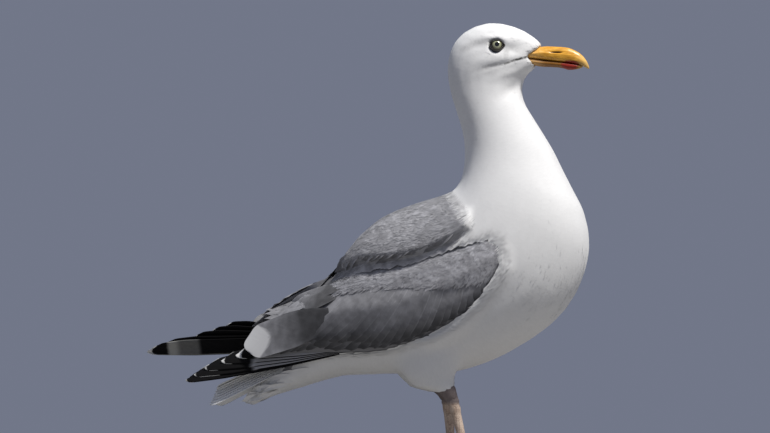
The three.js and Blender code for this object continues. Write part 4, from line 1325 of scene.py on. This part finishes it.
# painted_shading gives painted shade, darkest on the lowest row where the shoulder lobe turns under.
SHOULDER_ROWS = [
    {
        "line": [(18, 242), (4, 238), (-25, 232), (-55, 228), (-92, 218)], "gap": 8, "length": (34, 42, 48, 48, 46),
        "half_width": (6, 7.5), "turn": (228, 213), "high": 0.9, "tuck": 0.0, "painted_shading": 0.68, "softness": 0.5
    },
    {
        "line": [(15, 256), (0, 253), (-30, 248), (-66, 240), (-88, 230)], "gap": 9.5, "length": (28, 32, 36, 38),
        "half_width": (7, 9), "turn": (224, 214), "high": 0.8, "tuck": 0.45, "painted_shading": 0.35, "softness": 0.7
    },
    {
        "line": [(8, 266), (-8, 263), (-40, 257), (-72, 246)], "gap": 8.5, "length": (24, 28, 30, 32),
        "half_width": (6.5, 8), "turn": (222, 214), "high": 0.8, "tuck": 0.5, "painted_shading": 0.0, "softness": 0.8
    },
]

scapular_vane = Vane(6, 9, closing=0.55, root_width=0.5, fringe=0.02, narrow=0.08)
for side, name in ((1, "left"), (-1, "right")):
    batches = []
    for row in SHOULDER_ROWS:
        spots, share = along_line(row["line"], row["gap"])
        vary = chance.uniform(-1, 1, (len(spots), 4))
        spots = spots + vary[:, :2] * row["gap"] * 0.3
        roots, _ = outer_form.under(wing_places(spots, side), side)
        lengths = np.interp(share, np.linspace(0, 1, len(row["length"])), row["length"]) * (1 + 0.14 * vary[:, 2]) * MM
        widths = (row["half_width"][0] + (row["half_width"][1] - row["half_width"][0]) * share) * MM
        laid = lay_vanes(
            outer_form, roots, pointing(*row["turn"], 26, -90), lengths, widths, scapular_vane, -0.6, row["high"],
            hand=-side, dome=0.7, roll=0.35, steps=7, free=1.4, sink=0.1 * vary[:, 3], crest=0.8, tuck=row["tuck"]
        )
        jitter = np.repeat(chance.normal(0, 2.0, len(roots)), len(scapular_vane.across)) - 3
        front = mantle_share(laid[0].reshape(-1, 3) + np.stack([jitter * MM, 0 * jitter, 0 * jitter], 1))
        rearward = ramp(-local_mm(laid[0].reshape(-1, 3))[:, 0], -18, -6)
        values = {
            "grey": np.maximum(front, rearward), "own": (vary[:, 3] + 1) / 2, "tip": np.full(len(roots), 2.0),
            "painted_shading": np.full(len(roots), row["painted_shading"])
        }
        batches.append(
            {"softness": row["softness"], "laid": laid, "vane": scapular_vane, "roots": roots, "values": values}
        )
    place_piece(
        bpy.data.objects.new(f"shoulder_feathers_{name}", feather_mesh(f"shoulder_feathers_{name}", batches, 0.6)),
        "grey_feather", wing_plumage
    )

# ------------------------------------------------------------------ primaries
# The long flight feathers of the hand stand out behind the folded wings in two stiff stacks, the
# longest lowest. They are black with white tips and mirrors, grey towards their roots.

PRIMARY = {"width": 21, "narrow_share": 0.36, "tilt": 52, "step": 1.0, "camber": 1.1, "thick": 0.6}
# For each feather from the longest inwards: the place of its tip, and how far from the tip its white
# tip, the black behind it, its white mirror and the grey behind
# that each reach, and how far the white runs back along the edges.
# painted_light: how lit each stack's colours are painted; the near stack's grey roots paler as if in sun, the far
# stack's grey darker and its mirror grey, as painted shade.
STACKS = {
    "right": {
        "side": -1,
        "painted_light": 1.0,
        "root": (-96, 36, 121),
        "feathers": [
            ((-265.5, 20, 88.5), 1, 900, 900, 900, 5),
            ((-257, 19, 93.5), 1.5, 67, 64, 900, 26),
            ((-246, 18, 99.5), 1.5, 53, 50, 900, 12),
            ((-229, 18, 106), 3, 37, 34, 900, 8),
            ((-214, 18, 111), 6, 25, 22, 900, 6),
        ],
    },
    "left": {
        "side": 1,
        "painted_light": 0.2,
        "root": (-112, 31, 127),
        "feathers": [
            ((-313, 12, 117.5), 5, 22, 32, 54, 3),
            ((-299, 12, 121.5), 2, 900, 900, 900, 3),
            ((-268, 13, 128.5), 1.5, 900, 900, 900, 3),
            ((-251, 14, 133.5), 2, 63, 60, 900, 4),
            ((-236, 15, 138.5), 3, 47, 44, 900, 4),
        ],
    },
}
# How broad the two webs are, by how far from the tip, as shares of the feather.
NARROW_WEB = ((0, 0.01, 0.03, 0.24, 0.6, 1), (0.12, 0.30, 0.46, 0.85, 1, 0.7))
BROAD_WEB = ((0, 0.01, 0.03, 0.08, 0.2, 1), (0.06, 0.28, 0.52, 0.82, 1, 0.7))


def blade_spots(root, tip, broad_side, width, vane, camber, ridge=0.35, webs=(NARROW_WEB, BROAD_WEB)):
    """The points of one stiff feather from root to tip, its broad web on the side given, in mm."""
    run = np.array(tip, float) - np.array(root, float)
    length = np.linalg.norm(run)
    run = run / length
    across = -unit(np.array(broad_side) - run * np.dot(broad_side, run))
    normal = np.cross(run, across)
    upper = normal * np.sign(normal[2])
    near, far = width * PRIMARY["narrow_share"], width * (1 - PRIMARY["narrow_share"])
    shares = [np.interp(1 - vane.along, *web) for web in webs]
    sideways = np.where(vane.across > 0, near * shares[0], far * shares[1]) * vane.across
    height = -camber * vane.across**2 + ridge * np.exp(-((vane.across / 0.1) ** 2))
    middle_line = np.array(root) + run * (vane.reach * length)[:, None]
    return middle_line + across * sideways[:, None] + upper * height[:, None], normal, length


blade_vane = Vane(8, 28, closing=0.12, crowd=1.5, bow=0.02)


def stiff_mesh(name, batches, thick):
    """A feather mesh whose vanes are given their thickness."""
    mesh = feather_mesh(name, batches, 0.3)
    solid = bmesh.new()
    solid.from_mesh(mesh)
    bmesh.ops.solidify(solid, geom=solid.faces[:], thickness=thick * MM)
    bmesh.ops.recalc_face_normals(solid, faces=solid.faces)
    fresh = bpy.data.meshes.new(name)
    solid.to_mesh(fresh)
    fresh.shade_smooth()
    return fresh


def primary_material():
    material = new_material("primary", 0.75, Specular_IOR_Level=0.08)
    nodes = Nodes(material.node_tree)
    across, along, _ = nodes.axes(nodes.add("ShaderNodeUVMap", uv_map="Vane").outputs["UV"])
    keys = ("tip", "length", "black", "mirror", "base", "fringe", "painted_light", "own")
    read = {key: nodes.add("ShaderNodeAttribute", attribute_name=key).outputs["Fac"] for key in keys}
    left = nodes.math("MULTIPLY", nodes.math("SUBTRACT", 1.0, along), read["length"])  # millimetres from the tip
    sideways = nodes.math("ABSOLUTE", nodes.math("SUBTRACT", across, 0.5))
    barb = nodes.add(
        "ShaderNodeGroup", {"Across": across, "Along": along, "Own": read["own"], "Count": 60.0, "Slant": 0.08},
        node_tree=BARBS
    ).outputs[0]
    edge = nodes.math("MULTIPLY", nodes.math("SUBTRACT", barb, 0.5), 3.0)
    left = nodes.math("ADD", left, edge)
    black = nodes.mix(barb, (0.003, 0.003, 0.0035), (0.009, 0.0085, 0.009))
    # painted light and shade: grey roots pale on the near stack, dark on the far one
    grey = nodes.mix(
        read["painted_light"], nodes.mix(barb, (0.05, 0.05, 0.045), (0.10, 0.10, 0.09)),
        nodes.mix(barb, (0.34, 0.34, 0.35), (0.50, 0.50, 0.51))
    )
    white = nodes.mix(barb, (0.62, 0.62, 0.60), (0.76, 0.76, 0.75))
    patch = nodes.mix(read["painted_light"], (0.26, 0.26, 0.24), white)

    def past(key, softness):
        return nodes.ramp(nodes.math("SUBTRACT", left, read[key]), -softness, softness)

    colour = nodes.mix(past("black", 2.5), black, patch)
    colour = nodes.mix(past("mirror", 4.0), colour, grey)
    colour = nodes.mix(past("base", 3.0), colour, black)
    outer_edge = nodes.math(
        "MULTIPLY", nodes.ramp(across, 0.93, 0.97), nodes.ramp(nodes.math("SUBTRACT", left, read["mirror"]), 0, 6)
    )
    colour = nodes.mix(outer_edge, colour, black)
    edge_share = nodes.ramp(sideways, 0.42, 0.49)
    reach = nodes.math("ADD", read["tip"], nodes.math("MULTIPLY", edge_share, read["fringe"]))
    after_tip = nodes.ramp(nodes.math("SUBTRACT", left, reach), -0.8, 0.8)
    edge_line = nodes.math("MULTIPLY", nodes.ramp(across, 0.90, 0.93), nodes.ramp(across, 0.985, 0.965))
    edge_line = nodes.math(
        "MULTIPLY", edge_line, nodes.ramp(nodes.math("SUBTRACT", 1.0, read["painted_light"]), 0.5, 0.7, 0.0, 0.55)
    )
    colour = nodes.mix(edge_line, colour, (0.30, 0.30, 0.27))
    wire(material, Base_Color=nodes.mix(after_tip, white, colour), Normal=nodes.bump(barb, 0.15, 0.0005))
    return material


def stack_batches(side, painted_light, root, feathers):
    tilt = math.radians(PRIMARY["tilt"])
    broad_side = np.array([0, -side * math.cos(tilt), math.sin(tilt)])
    outward = np.array([0, side * math.sin(tilt), math.cos(tilt)])
    batches = []
    for index, (tip, white, black, mirror, grey, fringe) in enumerate(feathers):
        shift = outward * index * PRIMARY["step"]
        base = np.array([root[0], side * root[1], root[2]]) + shift
        end = np.array([tip[0], side * tip[1], tip[2]]) + shift
        spots, normal, length = blade_spots(base, end, broad_side, PRIMARY["width"], blade_vane, PRIMARY["camber"])
        values = {
            "tip": white, "length": length, "black": black, "mirror": mirror, "base": grey, "fringe": fringe,
            "painted_light": painted_light, "own": index / 5
        }
        batches.append({
            "laid": (
                (spots * MM + np.array(at(0, 0, 0)))[None], np.tile(normal * np.sign(normal[2]), (1, len(spots), 1)),
                -1 if normal[2] > 0 else 1
            ),
            "vane": blade_vane,
            "values": {key: np.array([float(value)]) for key, value in values.items()},
            "bake": np.array([[0.1 + 0.19 * index, 0.5]]),
            "patch": (0.12, 0.9),
        })
    return batches


hand_finish = primary_material()
for name, stack in STACKS.items():
    batches = stack_batches(**stack)
    blades = bpy.data.objects.new(
        f"flight_feathers_{name}", stiff_mesh(f"flight_feathers_{name}", batches, PRIMARY["thick"])
    )
    place_piece(blades, "black_feather", hand_finish, f"primaries_{name}")

# ------------------------------------------------------------------ tail
# Twelve white tail feathers lie closed in a shallow roof, the middle pair on top and each outer one
# a step lower, between soft coverts above and below their roots.

TAIL = {
    "pairs": 6, "root": (-146, 121), "tip": (-237.5, 80), "width": 22, "spread": 2.6, "drop": 3.1, "camber": 1.0,
    "thick": 0.5
}

TAIL_WEB = ((0, 0.01, 0.04, 0.1, 1), (0.35, 0.7, 0.95, 1, 0.7))
tail_vane = Vane(8, 18, closing=0.12, crowd=1.5, bow=0.03)
tail_batches = []
for pair in range(TAIL["pairs"]):
    for side in (-1, 1):
        y = side * (2 + TAIL["spread"] * pair)
        z = -TAIL["drop"] * pair - (0.4 if side > 0 else 0)
        roll = math.radians(16 + pair)
        root = (TAIL["root"][0], y * 0.55, TAIL["root"][1] + z * 0.6)
        tip = (TAIL["tip"][0] - pair * 0.9, y, TAIL["tip"][1] + z)
        spots, normal, length = blade_spots(
            root, tip, np.array([0, -side * math.cos(roll), math.sin(roll)]), TAIL["width"], tail_vane,
            TAIL["camber"], webs=(TAIL_WEB, TAIL_WEB)
        )
        upper = normal * np.sign(normal[2])
        tail_batches.append({
            "laid": (
                (spots * MM + np.array(at(0, 0, 0)))[None], np.tile(upper, (1, len(spots), 1)),
                -1 if normal[2] > 0 else 1
            ),
            "vane": tail_vane,
            "values": {
                "grey": np.zeros(1), "own": np.array([(pair + 0.5 * (side > 0)) / 6]), "tip": np.array([2.0]),
                "painted_shading": np.zeros(1)
            },
            "bake": np.array([[0.25 + 0.5 * (side > 0), 0.1 + 0.15 * pair]]),
            "patch": (0.4, 0.12),
        })
# painted light: the tail's white is set brighter than the body's, making up for the wings' shadow over it.
tail_lit_finish = feather_material("tail plumage", white_colour=(0.93, 0.93, 0.92))
tail = bpy.data.objects.new("tail_feathers", stiff_mesh("tail_feathers", tail_batches, TAIL["thick"]))
place_piece(tail, "white_feather", tail_lit_finish, "tail")

# Long soft coverts close over the roots of the tail, above and below.
COVERT_ROWS = [
    {
        "x": -128, "length": 34, "turn": 193
    }, {"x": -140, "length": 38, "turn": 194}, {"x": -152, "length": 40, "turn": 196},
    {
        "x": -164, "length": 42, "turn": 197
    }, {"x": -174, "length": 36, "turn": 198}, {"x": -184, "length": 26, "turn": 198},
]
vent_batches = []
vent_vane = Vane(4, 9, closing=0.5, root_width=0.5, fringe=0.03, narrow=0.1)


def spine_height(x):
    """How high the middle of the tail's root is, in millimetres, at a place along it."""
    return float(np.interp(x, [-205, -176, -150, -128], [68, 86, 104, 118]))


for row in COVERT_ROWS:
    girth = int(np.interp(row["x"], [-190, -128], [14, 22]))
    turns = np.linspace(0, 2 * math.pi, girth, endpoint=False) + chance.uniform(0, 1)
    starts = np.array([[row["x"], 60 * math.sin(turn), spine_height(row["x"]) + 60 * math.cos(turn)] for turn in turns])
    middle = np.array([row["x"], 0, spine_height(row["x"])])
    hits = [bare_form.tree.ray_cast(tuple(np.array(at(*start))), tuple(unit(middle - start))) for start in starts]
    clear = [hit for hit in hits if hit[0] is not None and wing_form.tree.find_nearest(hit[0])[3] > 2 * MM]
    roots, _ = bare_form.read(clear)
    vary = chance.uniform(-1, 1, (len(roots), 3))
    turn = math.radians(row["turn"])
    way = np.array([math.cos(turn), 0, math.sin(turn)])
    laid = lay_vanes(
        bare_form, roots, lambda points: np.repeat(way[None], len(points), 0),
        row["length"] * (1 + 0.1 * vary[:, 0]) * MM, (6.5 + vary[:, 1]) * MM, vent_vane, -0.6, 0.5, dome=0.3, steps=6,
        free=1.0, sink=0.15 * vary[:, 2], crest=0.8, tuck=0.3, stiff=row["x"] < -160, cling=0
    )
    values = {
        "grey": np.zeros(len(roots)), "own": (vary[:, 2] + 1) / 2, "tip": np.full(len(roots), 2.0),
        "painted_shading": np.zeros(len(roots))
    }
    vent_batches.append({"laid": laid, "vane": vent_vane, "roots": roots, "values": values})
place_piece(
    bpy.data.objects.new("tail_coverts", feather_mesh("tail_coverts", vent_batches, 0.75)), "white_feather", plumage
)

# ------------------------------------------------------------------ skin finish
# Where it shows, the skin is bare only on the legs and feet and round the eyes: pinkish flesh with
# small scutes down the shank and toes, and a dark rim to each eye.

skin_places = np.empty(len(skin.data.vertices) * 3)
skin.data.vertices.foreach_get("co", skin_places)
skin_places = skin_places.reshape(-1, 3)
skin_near_wing = np.array([wing_form.tree.find_nearest(point)[3] for point in skin_places.tolist()])
grey_skin = np.maximum(mantle_share(skin_places), ramp(-skin_near_wing, -6.5 * MM, -5 * MM))
skin.data.attributes.new("grey", "FLOAT", "POINT").data.foreach_set("value", grey_skin)
heel_gaps = np.where(local_mm(skin_places)[:, 2] < 68, 0, heel_gap(skin_places))
skin.data.attributes.new("heel_gap", "FLOAT", "POINT").data.foreach_set("value", heel_gaps)


def skin_material():
    material = new_material("skin", 0.55, Specular_IOR_Level=0.35, Subsurface_Weight=0.0)
    nodes = Nodes(material.node_tree)
    local = nodes.moved(nodes.object_place(), location=-at(0, 0, 0) * 1000, scale=(1000, 1000, 1000))
    x, y, z = nodes.axes(local)
    grey = nodes.add("ShaderNodeAttribute", attribute_name="grey").outputs["Fac"]
    under = nodes.mix(grey, (0.90, 0.90, 0.89), (0.20, 0.20, 0.21))
    # painted shade of the face on the skin, as on the feathers
    under = nodes.mix(nodes.add("ShaderNodeGroup", node_tree=PAINTED_FACE_SHADE).outputs[0], under, (0.05, 0.048, 0.045))
    scutes = nodes.add(
        "ShaderNodeTexVoronoi",
        {"Vector": nodes.moved(local, scale=(0.42, 0.42, 0.62)), "Scale": 1.0, "Randomness": 0.7},
        feature="DISTANCE_TO_EDGE"
    ).outputs["Distance"]
    patchy = nodes.noise(local, 0.16, 4.0)
    flesh = nodes.mix(nodes.ramp(patchy, 0.35, 0.65), (0.52, 0.39, 0.30), (0.70, 0.56, 0.45))
    flesh = nodes.mix(nodes.ramp(scutes, 0.10, 0.02, 0.0, 0.6), flesh, (0.22, 0.14, 0.11))
    flesh = nodes.mix(nodes.math("MULTIPLY", nodes.ramp(z, 8, 2), 0.4), flesh, (0.34, 0.22, 0.18))
    # painted shade: the bare leg above the heel is darkened where the body's shadow falls on it
    flesh = nodes.mix(nodes.math("MULTIPLY", nodes.ramp(z, 63, 68), 0.85), flesh, (0.15, 0.125, 0.13))
    bare = nodes.ramp(nodes.add("ShaderNodeAttribute", attribute_name="heel_gap").outputs["Fac"], 21, 17)
    wire(
        material, Base_Color=nodes.mix(bare, under, flesh),
        Normal=nodes.bump(nodes.math("MULTIPLY", nodes.ramp(scutes, 0.0, 0.16), bare), 0.5, 0.0006)
    )
    return material


place_piece(skin, "leg_skin", skin_material(), *FEATHERED, *ARMS, *BARE_LEGS)
rim_mesh = bpy.data.meshes.new("eye_rims")
rims.to_mesh(rim_mesh)
rim_mesh.shade_smooth()
rim_finish = new_material("eye rim", 0.5, Specular_IOR_Level=0.3)
nodes = Nodes(rim_finish.node_tree)
lid_height = nodes.math(
    "MULTIPLY", nodes.math("SUBTRACT", nodes.axes(nodes.object_place())[2], EYE_PLACE[2] * MM), 1000.0
)
wrinkle = nodes.noise(nodes.object_place(), 1500.0, 3.0)
# the lower lid paler, the upper lid dark: partly painted shade under the brow
lid_with_painted_shade = nodes.mix(nodes.ramp(lid_height, -4.5, -1.0), (0.13, 0.12, 0.085), (0.022, 0.018, 0.014))
wire(
    rim_finish, Base_Color=nodes.mix(nodes.math("MULTIPLY", wrinkle, 0.5), lid_with_painted_shade, (0.02, 0.017, 0.013)),
    Normal=nodes.bump(wrinkle, 0.5, 0.0003)
)
place_piece(bpy.data.objects.new("eye_rims", rim_mesh), "leg_skin", rim_finish)

# ------------------------------------------------------------------ claws
# Short blunt claws of dark horn cap the toes, worn paler at their points. They keep the shape of the
# solids and only get their finish here.

claw_finish = new_material("claw horn", 0.4, Specular_IOR_Level=0.5)
nodes = Nodes(claw_finish.node_tree)
grain = nodes.noise(nodes.moved(nodes.object_place(), scale=(300, 900, 900)), 1.0, 3.0)
claw_height = nodes.axes(nodes.object_place())[2]
horn = nodes.mix(nodes.ramp(grain, 0.3, 0.7), (0.025, 0.018, 0.014), (0.07, 0.05, 0.04))
wire(
    claw_finish, Base_Color=nodes.mix(nodes.ramp(claw_height, 0.004, 0.0005, 0.0, 0.5), horn, (0.16, 0.12, 0.09)),
    Normal=nodes.bump(grain, 0.3, 0.0003)
)
for name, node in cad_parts.items():
    if name.startswith("claw_"):
        for slot in node.material_slots:
            slot.material = claw_finish
